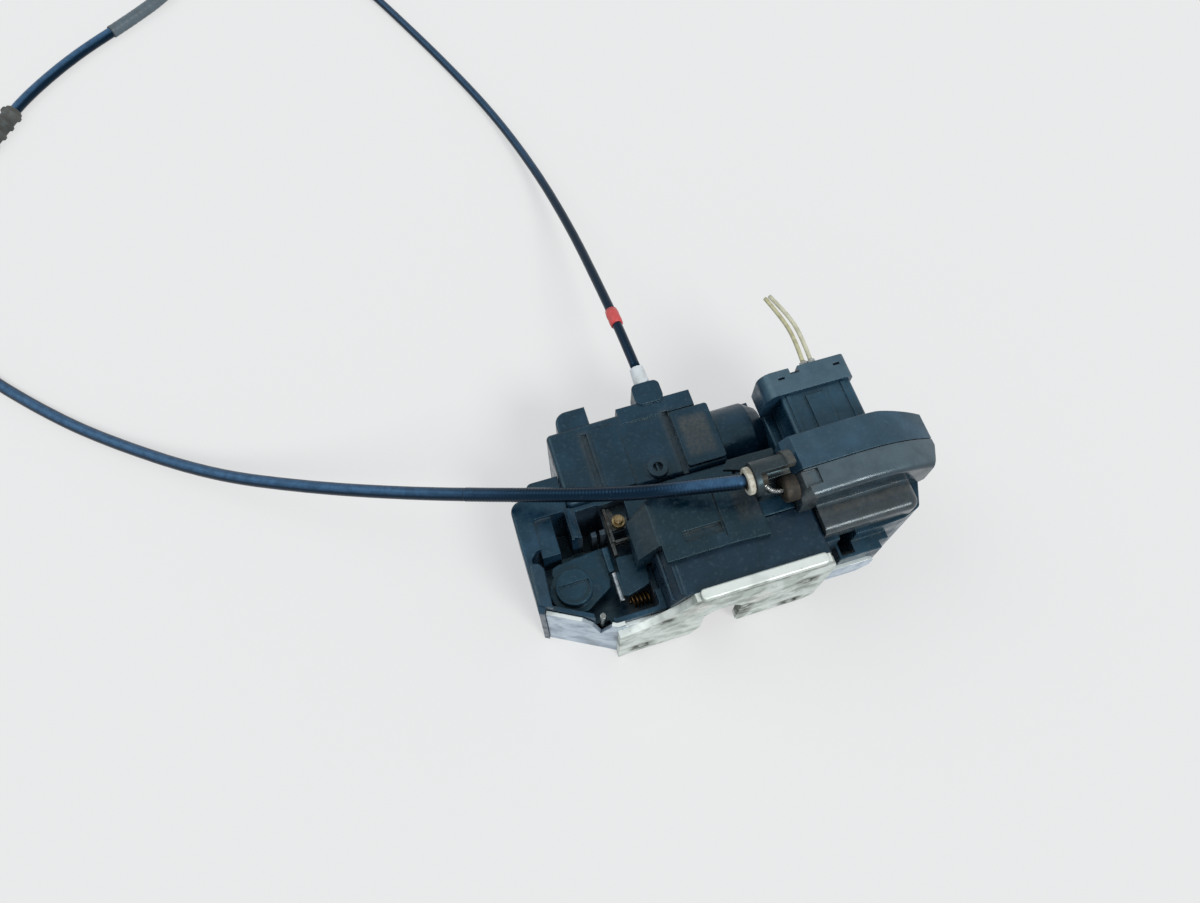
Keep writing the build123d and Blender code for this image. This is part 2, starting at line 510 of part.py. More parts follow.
def wheel_axle():
    centre_y = MOTOR_Y + WORM_PITCH_R + GEAR_MODULE * WHEEL_TEETH / 2
    return rod_z(42.0, centre_y, 1.5, 8.0, ACT_TOP - WALL) + rod_z(42.0, centre_y, 3.5, 8.0, MOTOR_Z - 2.4)


# ---------------------------------------------------------------- arched housing

def side_tab():
    """Sheet metal tab in front of the housing's lug, beside the plate."""
    tab = front_slab([(84.4, 20.5), (98.0, 20.5), (102.0, 25.0), (102.0, 31.0), (99.5, 33.0), (84.4, 33.0)], 0.9, 2.4)
    return round_edges(tab, Axis.Y, 0.8)


def housing_base():
    outline = [(80.8, 8.0), (104.0, 8.0), (113.0, 8.6), (120.0, 11.0), (124.0, 21.0), (124.0, 38.0), (117.0, 46.3),
               (62.2, 46.3), (62.2, 22.3), (80.8, 22.3)]
    base = plan_slab(outline, 0, BASE_TOP)
    base = round_edges(base, Axis.Z, 2.0, lambda c: c.X > 112)
    base += block(62.2, 74.2, 22.3, 46.3, BASE_TOP - 1, 54.6)
    base -= block(87.2, 93.6, 7.0, 17.0, 22.0, BASE_TOP + 1)
    base += block(87.2, 103.6, 2.4, 9.0, 24.0, 40.0) - block(88.2, 93.4, 3.6, 11.0, 20.0, 41.0)
    base += round_edges(block(85.4, 112.6, 46.0, 67.5, 0, 39.7), Axis.Z, 2.0, lambda c: c.Y > 60)
    base += block(103.4, 107.4, 5.2, 9.0, 26.0, 40.0)
    base -= block(87.0, 110.0, 38.0, 47.0, 37.0, 46.5)
    base -= block(CRANK_X - 11, CRANK_X + 13, ARCH_FRONT + WALL, ARCH_SPLIT - WALL, 30.0, BASE_TOP + 1)
    base -= rod_y(CRANK_X, CRANK_Z, 2.5, 21.0, 31.0)
    return base


def arch_outline(inset):
    """Front view of the arched housing: flat crown, long fall to the right, bevelled left end."""
    left, right, low = ARCH_LEFT + inset, 130.0 - inset, BASE_TOP + inset
    corner = 0.4 * inset
    points = [(124.0 - corner, low), (left, low), (left, 63.5 - corner), (78.0 + corner, 67.6 - inset),
              (98.0, 68.5 - inset)]
    end = (right, 60.0 - corner)
    outline = [Line(a, b) for a, b in zip(points, points[1:])]
    outline.append(Spline(points[-1], (116.0 - corner, 66.6 - inset), end, tangents=((1, 0), (1, -0.7))))
    return outline + [Line(end, (right, 53.0 + corner)), Line((right, 53.0 + corner), points[0])]


def arch_solid(y0, y1, inset=0.0):
    face = make_face([Pos(0, y0, 0) * Rot(90, 0, 0) * edge for edge in arch_outline(inset)])
    return extrude(face, amount=y1 - y0, dir=(0, 1, 0))


def arch_front_shell():
    shell = arch_solid(ARCH_FRONT, ARCH_SPLIT - 0.4)
    front = shell.edges().filter_by(Plane.XZ).group_by(Axis.Y)[0].sort_by(Axis.Z)
    shell = fillet(front[-3:], 2.6)
    ledge = side_slab([(ARCH_FRONT + 0.1, BASE_TOP), (9.4, BASE_TOP), (9.4, 56.5), (ARCH_FRONT + 0.1, 56.5)], 80.8, 118.0)
    ledge = fillet(ledge.edges().filter_by(Axis.X).group_by(Axis.Y)[0].sort_by(Axis.Z)[-1:], 3.0)
    ledge = fillet(ledge.edges().filter_by(Axis.Z).group_by(Axis.Y)[0].sort_by(Axis.X)[-1:], 4.0)
    shell += ledge
    shell += arch_solid(ARCH_SPLIT - 0.5, ARCH_SPLIT, 0.6)
    shell -= plan_slab([(131, 30.0), (131, 18.0), (124.6, 18.0)], 40, 70)
    shell -= block(ARCH_LEFT - 1, 80.8, ARCH_FRONT - 1, 22.2, BASE_TOP - 1, PLATE_TOP + 0.3)
    shell -= block(ARCH_LEFT + 1.2, 82.8, 24.2, ARCH_SPLIT - 0.9, 66.4, 70.0)
    return shell - crank_space()


def arch_rear_shell():
    shell = arch_solid(ARCH_SPLIT, ARCH_REAR)
    shell -= plan_slab([(108, 45), (131, 40.8), (131, 45)], 40, 70)
    top = shell.edges().filter_by(Plane.XZ).group_by(Axis.Y)[-1].sort_by(Axis.Z)
    return fillet(top[-1:], 0.8)


def crank_space():
    """Room for the bell crank's swing inside the front shell."""
    crown = arch_solid(ARCH_FRONT + WALL, ARCH_SPLIT - WALL, WALL) & block(76.0, 122.0, 0, 60, BASE_TOP, 70)
    return crown + block(78.0, 112.0, ARCH_FRONT + WALL, ARCH_SPLIT - WALL, BASE_TOP - 1, BASE_TOP + 4)


def bell_crank():
    """Lever that the front cable turns, with a rounded head for the cable's end."""
    y0, y1 = 24.0, 27.0
    arm = front_slab([(CRANK_X - 4, CRANK_Z + 3), (CRANK_X - 15.5, 58.5), (CRANK_X - 12.5, 62.0),
                      (CRANK_X + 3.5, CRANK_Z + 4)], y0, y1)
    tail = front_slab([(CRANK_X - 3, CRANK_Z - 4), (CRANK_X + 3, CRANK_Z + 4), (CRANK_X + 9, CRANK_Z - 1),
                       (CRANK_X + 7, CRANK_Z - 5)], y0, y1)
    crank = arm + tail + rod_y(CRANK_X, CRANK_Z, 5.5, y0, y1) + rod_y(CRANK_X - 14.0, 60.2, 2.4, y0, y1)
    return crank - rod_y(CRANK_X, CRANK_Z, 2.5 + RUN_GAP, y0 - 1, y1 + 1)


def crank_axle():
    return rod_y(CRANK_X, CRANK_Z, 2.5, 21.0, 31.0) + rod_y(CRANK_X, CRANK_Z, 3.8, 27.4, 28.9)


# ---------------------------------------------------------------- plug

def plug_body():
    body = block(85.0, 113.5, 46.8, 64.5, 40.0, 56.0)
    body = round_edges(body, Axis.Y, 1.5)
    body += block(87.5, 109.5, 38.4, 47.0, 37.6, 46.0)
    body -= block(89.5, 107.5, 38.0, 45.5, 39.6, 44.0)
    body += block(94.0, 102.0, 48.0, 62.0, 55.5, 57.4)
    for x in (87.0, 109.0):
        body += block(x, x + 1.6, 48.0, 64.0, 55.5, 56.8)
    return body


def plug_cap():
    """Retaining cap over the plug's rear, with a notch for each cavity."""
    cap = block(79.5, 114.5, 64.5, 74.5, 41.5, 58.0)
    cap = round_edges(cap, Axis.Y, 5.5, lambda c: c.X < 90 and c.Z > 50)
    cap = round_edges(cap, Axis.Y, 2.0, lambda c: c.X > 90)
    cap -= block(91.8, 95.4, 71.8, 75.0, 53.5, 59.0)
    for x in (86.4, 108.8):
        cap -= block(x, x + 2.6, 70.5, 71.5, 55.5, 59.0)
    return cap


def wire_seals():
    seals = [rod_y(x, SEAL_Z, SEAL_R, 74.5, 76.5) for x in SEAL_X]
    return Compound(children=seals)


def terminal_block():
    plate = block(88.0, 109.0, 38.0, 38.3, 38.0, 45.5)
    for i in range(6):
        x = 91.0 + 2.8 * i
        plate += block(x, x + 0.8, 38.0, 44.5, 41.0, 42.6)
    return plate


# ---------------------------------------------------------------- cables

FRONT_ROUTE = [
    (57.0, 32.3, 67.9), (40.0, 36.4, 65.2), (14.0, 44.2, 58.6), (-26.0, 61.6, 46.0), (-62.0, 78.8, 33.0),
    (-100.5, 98.5, 21.0), (-140.0, 120.6, 11.5), (-183.0, 154.0, 3.8), (-209.0, 177.6, 2.6),
    (-238.0, 209.0, 2.6), (-252.0, 242.0, 2.6), (-255.0, 275.0, 2.6), (-248.0, 306.0, 2.6),
    (-235.0, 331.0, 2.6), (-219.5, 353.0, 2.6), (-206.0, 370.5, 2.6), (-180.0, 392.5, 2.6),
    (-151.0, 409.5, 2.6), (-128.0, 424.0, 3.4), (-110.0, 446.0, 3.4), (-99.0, 468.0, 3.4)]

REAR_ROUTE = [
    (40.7, 101.2, 38.0), (40.5, 124.0, 34.8), (40.0, 151.0, 28.5), (39.0, 192.0, 17.6), (34.6, 237.3, 8.0),
    (24.4, 284.4, 3.0), (8.5, 328.7, 2.05), (-8.9, 370.1, 2.05), (-22.0, 398.0, 3.2), (-35.0, 424.0, 3.2)]

WIRE_LEFT_ROUTE = [(99.4, 76.8, 55.0), (99.8, 86.4, 56.0), (97.2, 97.0, 56.0), (91.5, 107.0, 53.5)]
WIRE_RIGHT_ROUTE = [(102.6, 76.8, 55.0), (102.4, 86.8, 56.8), (99.6, 97.6, 57.0), (94.2, 107.4, 55.0)]


def corner_radii(points):
    """Largest tangent arc at each corner: 0.45 of the shorter run over the tangent of half the turn."""
    radii = []
    for a, b, c in zip(points, points[1:], points[2:]):
        before, after = Vector(*b) - Vector(*a), Vector(*c) - Vector(*b)
        turn = math.radians(before.get_angle(after))
        radii.append(0.45 * min(before.length, after.length) / math.tan(turn / 2))
    return radii


def tube(points, diameter, name=None):
    radii = corner_radii(points)
    path = FilletPolyline(*points, radius=radii)
    if name:
        print(name, "length %.1f" % path.length, "radii", [round(r) for r in radii])
    section = Plane(origin=path @ 0, z_dir=path % 0) * Circle(diameter / 2)
    body = sweep(section, path=path)
    if name:
        print(name, "volume over section times length %.4f"
              % (body.volume / (math.pi * diameter ** 2 / 4 * path.length)))
    return body


def front_ferrule():
    """Flanged sleeve that holds the front cable's sheath in its seat."""
    x, y, z = FRONT_SEAT
    flange = rod_x(y, z, 5.0, x - 2.4, x)
    flange = fillet(flange.edges().filter_by(GeomType.CIRCLE), 0.6)
    ferrule = flange + rod_x(y, z, 3.1, x, x + 5.0)
    return ferrule - rod_x(y, z, 3.2, x - 3, x - 1.0) - rod_x(y, z, 1.5, x + 3.0, x + 6)


def cable_bracket():
    """Saddle for the front cable: a tube cut open towards the front, a collar and a foot."""
    x, y, z = FRONT_SEAT
    saddle = rod_x(y, z, 6.2, x, 71.0) + rod_x(y, z, 7.0, 71.0, 74.2)
    saddle -= rod_x(y, z, 3.15, x - 1, 75.0)
    saddle -= block(x + 2.2, 75.0, y - 9, y - 0.4, z - 3.2, z + 9)
    foot = side_slab([(y - 4.2, 54.6), (y + 6.0, 54.6), (y + 6.0, z - 2.4), (y + 5.0, z - 3.6), (y - 4.4, z - 3.6)],
                     x + 3.4, 74.2)
    ledge = plan_slab([(54.0, 43.0), (62.2, 40.3), (62.2, 28.0), (74.2, 28.0), (74.2, 46.0), (64.0, 46.2),
                       (56.5, 46.2)], 54.6, 56.4)
    bracket = saddle + foot - block(x + 4.6, 71.3, y - 12, y - 0.4, 60.4, z + 9)
    return bracket + ledge - rod_x(BOOT_Y, BOOT_Z, 5.0, BOOT_X - 0.4, 75.0)


def inner_wire():
    x, y, z = FRONT_SEAT
    return tube([(x + 3.0, y, z), (x + 5.4, y, z), (x + 7.0, y - 3.6, z - 3.8), (BOOT_X - 1.4, BOOT_Y, BOOT_Z),
                 (BOOT_X + 1.4, BOOT_Y, BOOT_Z)], 1.6)


def wire_boot():
    """Round rubber boot where the wire goes into the arched housing's left end."""
    boot = rod_x(BOOT_Y, BOOT_Z, 4.8, BOOT_X, ARCH_LEFT)
    boot = fillet(boot.edges().filter_by(GeomType.CIRCLE).sort_by(Axis.X)[:1], 1.0)
    return boot - rod_x(BOOT_Y, BOOT_Z, 1.6, BOOT_X - 1, BOOT_X + 1.4)


def cord_end(points, barrel_r):
    """End of a control cable: threaded ferrule, bare wire and ball."""
    last, before = Vector(*points[-1]), Vector(*points[-2])
    along = (last - before)
    along = Vector(along.X, along.Y, 0).normalized()
    base = Plane(origin=last, z_dir=along)
    end = base * Pos(0, 0, 7.0) * Cylinder(barrel_r, 14.0)
    end += base * Pos(0, 0, 19.0) * Cylinder(0.9, 10.5)
    end += base * Pos(0, 0, 25.0) * Sphere(2.6)
    return end


def front_end_fitting():
    return cord_end(FRONT_ROUTE, 3.3)


def rear_end_fitting():
    return cord_end(REAR_ROUTE, 3.1)


def front_cable():
    return tube(FRONT_ROUTE, FRONT_D, "front cable")


def rear_cable():
    return tube(REAR_ROUTE, REAR_D, "rear cable")


def cable_sleeve():
    """Thicker outer sleeve on the front cable's last stretch."""
    outer = tube(FRONT_ROUTE[14:], FRONT_D + 0.9)
    return (outer & block(-169.0, -84.0, 380, 460, 0, 12)) - tube(FRONT_ROUTE, FRONT_D + 0.04)


def cable_clip():
    """Panel clip on the front cable: a short collar with a block and a tongue at its side."""
    collar = tube(FRONT_ROUTE[11:17], FRONT_D + 3.2) & block(-240.0, -209.0, 338.0, 366.0, -2, 12)
    collar &= block(-260, -200, 330, 380, 0, 12)
    body = Pos(-229.5, 345.0, 3.6) * Rot(0, 0, -35) * Box(6.5, 15.0, 7.0)
    clip = collar + body
    return clip - tube(FRONT_ROUTE, FRONT_D + 0.04)


def rear_ferrule():
    """White sleeve on the rear cable's end: barrel in the tower, cone outside it."""
    x, y, z = REAR_SEAT
    length = 8.4
    cone = Pos(x, y + length / 2, z) * Rot(-90, 0, 0) * Cone(3.3, 2.9, length)
    return cone + rod_y(x, z, 2.96, y - 6.8, y) - rod_y(x, z, 2.35, y + length - 1.4, y + length + 1)


def rear_band():
    """Coloured marking band round the rear cable."""
    outer = tube(REAR_ROUTE, REAR_D + 1.4) & block(30.0, 50.0, 127.0, 135.5, 0, 60)
    return outer - tube(REAR_ROUTE, REAR_D + 0.04)


PIECES = {
    "latch_plate": latch_plate, "wing_plate": wing_plate, "backing_plate": backing_plate,
    "catch_fork": catch_fork, "pawl": pawl,
    "fork_pivot": lambda: rivet(FORK_X, FORK_Z),
    "pawl_pivot": lambda: rivet(PAWL_X, PAWL_Z),
    "fork_spring": fork_spring, "pawl_spring": pawl_spring, "slot_bumper": slot_bumper,
    "mechanism_case": mechanism_case, "lever_case": lever_case, "stop_pin": stop_pin, "guide_frame": guide_frame,
    "brass_bush": brass_bush, "detent_spring": detent_spring, "latch_cover": latch_cover,
    "release_lever": release_lever, "lever_pivot": lever_pivot,
    "locking_lever": locking_lever, "lock_rod": lock_rod, "lock_pivot": lock_pivot,
    "actuator_case": actuator_case, "actuator_cover": actuator_cover, "cover_screws": cover_screws,
    "motor_can": motor_can, "worm": worm, "worm_wheel": worm_wheel, "wheel_axle": wheel_axle,
    "housing_base": housing_base, "side_tab": side_tab, "arch_front_shell": arch_front_shell, "arch_rear_shell": arch_rear_shell,
    "bell_crank": bell_crank, "crank_axle": crank_axle, "cable_bracket": cable_bracket,
    "front_ferrule": front_ferrule, "inner_wire": inner_wire, "wire_boot": wire_boot,
    "front_cable": front_cable, "cable_clip": cable_clip, "cable_sleeve": cable_sleeve,
    "front_end_fitting": front_end_fitting,
    "rear_ferrule": rear_ferrule, "rear_cable": rear_cable, "rear_band": rear_band,
    "rear_end_fitting": rear_end_fitting,
    "terminal_block": terminal_block, "plug_body": plug_body, "plug_cap": plug_cap, "wire_seals": wire_seals,
    "wire_left": lambda: tube(WIRE_LEFT_ROUTE, WIRE_D, "wire left"),
    "wire_right": lambda: tube(WIRE_RIGHT_ROUTE, WIRE_D, "wire right"),
}

os.makedirs("parts", exist_ok=True)
for name, make in PIECES.items():
    solid = Pos(-ORIGIN[0], -ORIGIN[1], -ORIGIN[2]) * make()
    export_step(solid, "parts/" + name + ".step")
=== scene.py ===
# %% [markdown]
# A car door latch with its lock actuator, dressed piece by piece.
#
# The solids come from a packed CAD model: metal plate, plastic cases, levers, cable ends. They already have
# their true size and place, so this file adds what CAD leaves out: rounded moulded edges, the two control
# cables and the two wires as smooth tubes, small turned and wound details, and the finishes.
# Lengths are metres. The pieces are described in millimetres from the plate's lower left corner.

# %% Load the CAD frame
import math

import bmesh
import bpy
from mathutils import Matrix, Vector


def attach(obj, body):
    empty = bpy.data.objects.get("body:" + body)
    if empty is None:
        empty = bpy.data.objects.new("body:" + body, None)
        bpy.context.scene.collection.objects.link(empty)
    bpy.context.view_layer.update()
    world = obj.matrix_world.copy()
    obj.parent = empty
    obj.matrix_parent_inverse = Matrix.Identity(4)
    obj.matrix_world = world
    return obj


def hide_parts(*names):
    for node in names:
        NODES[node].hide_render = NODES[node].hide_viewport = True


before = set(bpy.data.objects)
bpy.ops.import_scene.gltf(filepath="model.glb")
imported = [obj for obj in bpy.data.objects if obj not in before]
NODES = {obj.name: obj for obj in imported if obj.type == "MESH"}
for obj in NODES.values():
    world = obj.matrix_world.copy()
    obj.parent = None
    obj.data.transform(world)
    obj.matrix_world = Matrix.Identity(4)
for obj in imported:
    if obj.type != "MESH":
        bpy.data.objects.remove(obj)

bpy.context.view_layer.update()

# %% [markdown]
# The plate's lower left corner is where a person would start to measure the latch. The CAD frame has its
# zero under the middle of the housings instead, so one small function turns the first into the second.

# %% Millimetres on the latch to metres in the frame
MM = 0.001
PLATE_CORNER = Vector((53.0, 46.9, 0.0))


def at(x, y, z):
    """Place in the frame, in metres, of a place on the latch in millimetres."""
    return (Vector((x, y, z)) - PLATE_CORNER) * MM


print("plate corner in the frame:", tuple(round(c, 4) for c in at(0, 0, 0)))

# %% [markdown]
# The camera stands above the plate's left end and looks down at 66 degrees. A camera can be aimed with a
# tracking constraint, but two plain angles are easier to read: tilt it up from straight down, then turn it.

# %% Camera
CAMERA_HEIGHT_ANGLE, CAMERA_TURN = 66.0, -17.2
CAMERA_PLACE = (-26.4, -65.2, 358.2)
CAMERA_LENS, SENSOR_WIDTH = 27.0, 36.0

camera_data = bpy.data.cameras.new("bench_camera")
camera_data.lens = CAMERA_LENS
camera_data.sensor_width = SENSOR_WIDTH
camera = bpy.data.objects.new("bench_camera", camera_data)
camera.location = at(*CAMERA_PLACE)
camera.rotation_euler = (math.radians(90.0 - CAMERA_HEIGHT_ANGLE), 0.0, math.radians(CAMERA_TURN))
bpy.context.collection.objects.link(camera)
bpy.context.scene.camera = camera
print("camera at", tuple(round(c, 3) for c in camera.location))

# %% [markdown]
# A control cable is a steel wire in a plastic sheath. It is stiff, so it leaves its seat straight and lies
# in long easy bends. A NURBS spline of order 3 is the curve for that: it never kinks, and it stays inside
# the runs between its points. The order is set after the points are there, or Blender lowers it.

# %% Routes of the cables and wires
FRONT_ROUTE = [
    (57.0, 32.3, 67.9), (40.0, 36.4, 65.2), (14.0, 44.2, 58.6), (-26.0, 61.6, 46.0), (-62.0, 78.8, 33.0),
    (-100.5, 98.5, 21.0), (-140.0, 120.6, 11.5), (-183.0, 154.0, 3.8), (-209.0, 177.6, 2.6),
    (-238.0, 209.0, 2.6), (-252.0, 242.0, 2.6), (-255.0, 275.0, 2.6), (-248.0, 306.0, 2.6),
    (-235.0, 331.0, 2.6), (-219.5, 353.0, 2.6), (-206.0, 370.5, 2.6), (-180.0, 392.5, 2.6),
    (-151.0, 409.5, 2.6), (-128.0, 424.0, 3.4), (-110.0, 446.0, 3.4), (-99.0, 468.0, 3.4)]
REAR_ROUTE = [
    (40.7, 101.2, 38.0), (40.5, 124.0, 34.8), (40.0, 151.0, 28.5), (39.0, 192.0, 17.6), (34.6, 237.3, 8.0),
    (24.4, 284.4, 3.0), (8.5, 328.7, 2.05), (-8.9, 370.1, 2.05), (-22.0, 398.0, 3.2), (-35.0, 424.0, 3.2)]
WIRE_LEFT_ROUTE = [(99.4, 76.8, 55.0), (100.2, 86.4, 55.4), (99.2, 97.0, 55.4), (96.4, 108.4, 54.4)]
WIRE_RIGHT_ROUTE = [(102.6, 76.8, 55.0), (102.8, 86.8, 56.4), (101.4, 97.6, 56.6), (97.9, 108.1, 55.8)]


def spline_points(name, route):
    """Points read from the NURBS curve of a route."""
    curve = bpy.data.curves.new(name + "_line", "CURVE")
    curve.dimensions = "3D"
    curve.resolution_u = 12
    spline = curve.splines.new("NURBS")
    spline.points.add(len(route) - 1)
    for point, place in zip(spline.points, route):
        point.co = (*at(*place), 1.0)
    spline.order_u = 3
    spline.use_endpoint_u = True
    line = bpy.data.objects.new(name + "_line", curve)
    bpy.context.collection.objects.link(line)
    mesh = bpy.data.meshes.new_from_object(line)
    points = [vertex.co.copy() for vertex in mesh.vertices]
    bpy.data.objects.remove(line)
    bpy.data.meshes.remove(mesh)
    return points


front_line = spline_points("front_cable", FRONT_ROUTE)
rear_line = spline_points("rear_cable", REAR_ROUTE)
wire_left_line = spline_points("wire_left", WIRE_LEFT_ROUTE)
wire_right_line = spline_points("wire_right", WIRE_RIGHT_ROUTE)
print("points along the lines:", len(front_line), len(rear_line), len(wire_left_line), len(wire_right_line))

# %% [markdown]
# To set anything on a cable, a maker measures along it from the seat. These helpers do the same on a line
# of points: how far each point is, which place lies at a distance, and which way the cable runs there.

# %% Measuring along a line
DIRECTION_REACH = 0.002


def distances(points):
    """Distance of each point from the first, along the line."""
    total = [0.0]
    for a, b in zip(points, points[1:]):
        total.append(total[-1] + (b - a).length)
    return total


def place_on(points, distance):
    """Point at a distance along the line, in metres. Past the ends it goes straight on."""
    total = distances(points)
    i = 0
    while i < len(points) - 2 and distance > total[i + 1]:
        i += 1
    share = (distance - total[i]) / (total[i + 1] - total[i])
    return points[i] + (points[i + 1] - points[i]) * share


def direction_on(points, distance):
    """Direction over a short stretch, so that neighbouring rings don't tilt in steps."""
    ahead = place_on(points, distance + DIRECTION_REACH)
    behind = place_on(points, distance - DIRECTION_REACH)
    return (ahead - behind).normalized()


print("cable lengths:", round(distances(front_line)[-1], 4), round(distances(rear_line)[-1], 4))

# %% [markdown]
# The sheath is drawn as rings on the line, bridged into a tube. A curve's own bevel would do for a plain
# tube, but with rings the same function makes ribs, a film band and a grey sleeve, and all of them follow
# the same line without a gap.

# %% Rings bridged along a line
RING_SIDES = 20


def linked(name, bm):
    """The finished bmesh as a smooth object at the origin that rides on the housing."""
    mesh = bpy.data.meshes.new(name)
    for face in bm.faces:
        face.smooth = True
    bm.to_mesh(mesh)
    bm.free()
    piece = bpy.data.objects.new(name, mesh)
    bpy.context.collection.objects.link(piece)
    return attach(piece, "housing")


def edges_of(verts):
    """Edges that touch the vertices, each once. A set would give them in another order on every run."""
    return list(dict.fromkeys(edge for vert in verts for edge in vert.link_edges))


def ring(bm, points, distance, radius, sides):
    """Edges of one circle that stands square to the line."""
    turn = direction_on(points, distance).to_track_quat("Z", "Y").to_matrix().to_4x4()
    matrix = Matrix.Translation(place_on(points, distance)) @ turn
    return edges_of(bmesh.ops.create_circle(bm, segments=sides, radius=radius, matrix=matrix)["verts"])


def rings_along(name, points, profile, sides=RING_SIDES):
    """Closed tube through rings given as pairs of distance and radius, in metres."""
    bm = bmesh.new()
    rows = [ring(bm, points, distance, radius, sides) for distance, radius in profile]
    for first, second in zip(rows, rows[1:]):
        bmesh.ops.bridge_loops(bm, edges=first + second)
    for row in (rows[0], rows[-1]):
        bmesh.ops.edgeloop_fill(bm, edges=row)
    bmesh.ops.recalc_face_normals(bm, faces=bm.faces)
    return linked(name, bm)


print("sides of a ring:", RING_SIDES)

# %% [markdown]
# Two cables and two wires leave the latch. The front cable has the thicker sheath, and the wires are cut
# short beside their plug. Each tube takes the place of the plain solid of the same cord.

# %% Cables and wires
FRONT_D, REAR_D, WIRE_D = 5.2, 4.1, 1.7


def sheath(name, points, diameter):
    """Plain tube with a ring at every point of the line."""
    return rings_along(name, points, [(distance, diameter * MM / 2) for distance in distances(points)])


front_cable = sheath("front_cable_sheath", front_line, FRONT_D)
rear_cable = sheath("rear_cable_sheath", rear_line, REAR_D)
wire_left = sheath("wire_left_insulation", wire_left_line, WIRE_D)
wire_right = sheath("wire_right_insulation", wire_right_line, WIRE_D)
for piece, node, slot in (
        (front_cable, "front_cable", "front_sheath"),
        (rear_cable, "rear_cable", "rear_sheath"),
        (wire_left, "wire_left", "insulation_left"),
        (wire_right, "wire_right", "insulation_right")):
    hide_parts(node)
print("front cable faces:", len(front_cable.data.polygons), "rear:", len(rear_cable.data.polygons))

# %% [markdown]
# Three plain tubes sit on the cables: a panel clip and a grey outer sleeve on the front one, and a thin red
# film band on the rear one. They could stay CAD solids, but the drawn line cuts its corners a little, so
# they are made again from rings on that same line. First comes the clip: a collar with four ribs, as moulded
# clips have, and a rounded block beside it that goes into the panel.

# %% Panel clip
CLIP_AT, CLIP_LENGTH, CLIP_R = 0.509, 0.026, 0.0040
CLIP_RIBS, CLIP_RIB_HEIGHT = 4, 0.0010
CLIP_BODY_AT, CLIP_BODY_SIZE, CLIP_BODY_TURN = (-229.5, 345.0, 3.6), (6.5, 15.0, 7.0), -35.0
CLIP_ROUNDING = 0.8
COLLAR_ROUNDING, RIB_FOOT, RIB_CREST = 0.0006, 0.0014, 0.0008


def collar_profile(start, length, radius, ribs, rib_height):
    """Rings of a collar with rounded ends and evenly spaced ribs."""
    profile = [(start, radius - COLLAR_ROUNDING), (start + COLLAR_ROUNDING, radius)]
    for i in range(ribs):
        middle = start + length * (i + 0.5) / ribs
        profile.append((middle - RIB_FOOT, radius))
        profile.append((middle - RIB_CREST, radius + rib_height))
        profile.append((middle + RIB_CREST, radius + rib_height))
        profile.append((middle + RIB_FOOT, radius))
    return profile + [(start + length - COLLAR_ROUNDING, radius), (start + length, radius - COLLAR_ROUNDING)]


def add_block(bm, centre, size, turn=0.0, rounding=CLIP_ROUNDING):
    """Block with rounded edges, in millimetres on the latch, added to a bmesh."""
    scale = Matrix.Diagonal((size[0] * MM, size[1] * MM, size[2] * MM, 1.0))
    matrix = Matrix.Translation(at(*centre)) @ Matrix.Rotation(math.radians(turn), 4, "Z") @ scale
    edges = edges_of(bmesh.ops.create_cube(bm, size=1.0, matrix=matrix)["verts"])
    bmesh.ops.bevel(
        bm, geom=edges, affect="EDGES", offset=rounding * MM, segments=3, profile=0.5, material=-1)


panel_clip = rings_along(
    "panel_clip_collar", front_line,
    collar_profile(CLIP_AT - CLIP_LENGTH / 2, CLIP_LENGTH, CLIP_R, CLIP_RIBS, CLIP_RIB_HEIGHT))
clip_bm = bmesh.new()
clip_bm.from_mesh(panel_clip.data)
add_block(clip_bm, CLIP_BODY_AT, CLIP_BODY_SIZE, CLIP_BODY_TURN)
clip_bm.to_mesh(panel_clip.data)
clip_bm.free()
print("clip faces:", len(panel_clip.data.polygons))

# %% [markdown]
# The sleeve is the same collar, longer and with a row of very low ribs, so that it bends with the cable
# instead of cutting across the bend. The band is film wound by hand, so its few rings aren't quite alike.

# %% Outer sleeve and film band
SLEEVE_FROM, SLEEVE_TO, SLEEVE_R = 0.590, 0.665, 0.0031
SLEEVE_RIBS, SLEEVE_RIB_HEIGHT = 24, 0.00006
BAND_AT = 0.0297
BAND_PROFILE = (
    (-0.0042, 0.00210), (-0.0041, 0.00265), (-0.0022, 0.00280), (0.0, 0.00272),
    (0.0020, 0.00282), (0.0041, 0.00262), (0.0042, 0.00210))

outer_sleeve = rings_along(
    "front_outer_sleeve", front_line,
    collar_profile(SLEEVE_FROM, SLEEVE_TO - SLEEVE_FROM, SLEEVE_R, SLEEVE_RIBS, SLEEVE_RIB_HEIGHT))
red_band = rings_along(
    "rear_film_band", rear_line, [(BAND_AT + step, radius) for step, radius in BAND_PROFILE])
print("sleeve length:", round(SLEEVE_TO - SLEEVE_FROM, 3), "band faces:", len(red_band.data.polygons))

# %% [markdown]
# Clip and sleeve are thicker than the cable that lies on the bench, so their undersides would sink into it.
# Raising the cable would leave a gap under it. Real soft plastic lies flat where it rests, so a plane at the
# bench's height cuts the undersides off and the cut is filled again.

# %% Flat undersides
def press_flat(piece):
    """Cut off what would reach below the bench and close the cut."""
    bm = bmesh.new()
    bm.from_mesh(piece.data)
    geometry = bm.verts[:] + bm.edges[:] + bm.faces[:]
    cut = bmesh.ops.bisect_plane(bm, geom=geometry, plane_co=(0, 0, 0), plane_no=(0, 0, 1), clear_inner=True)
    bmesh.ops.holes_fill(bm, edges=[part for part in cut["geom_cut"] if isinstance(part, bmesh.types.BMEdge)])
    bm.to_mesh(piece.data)
    bm.free()


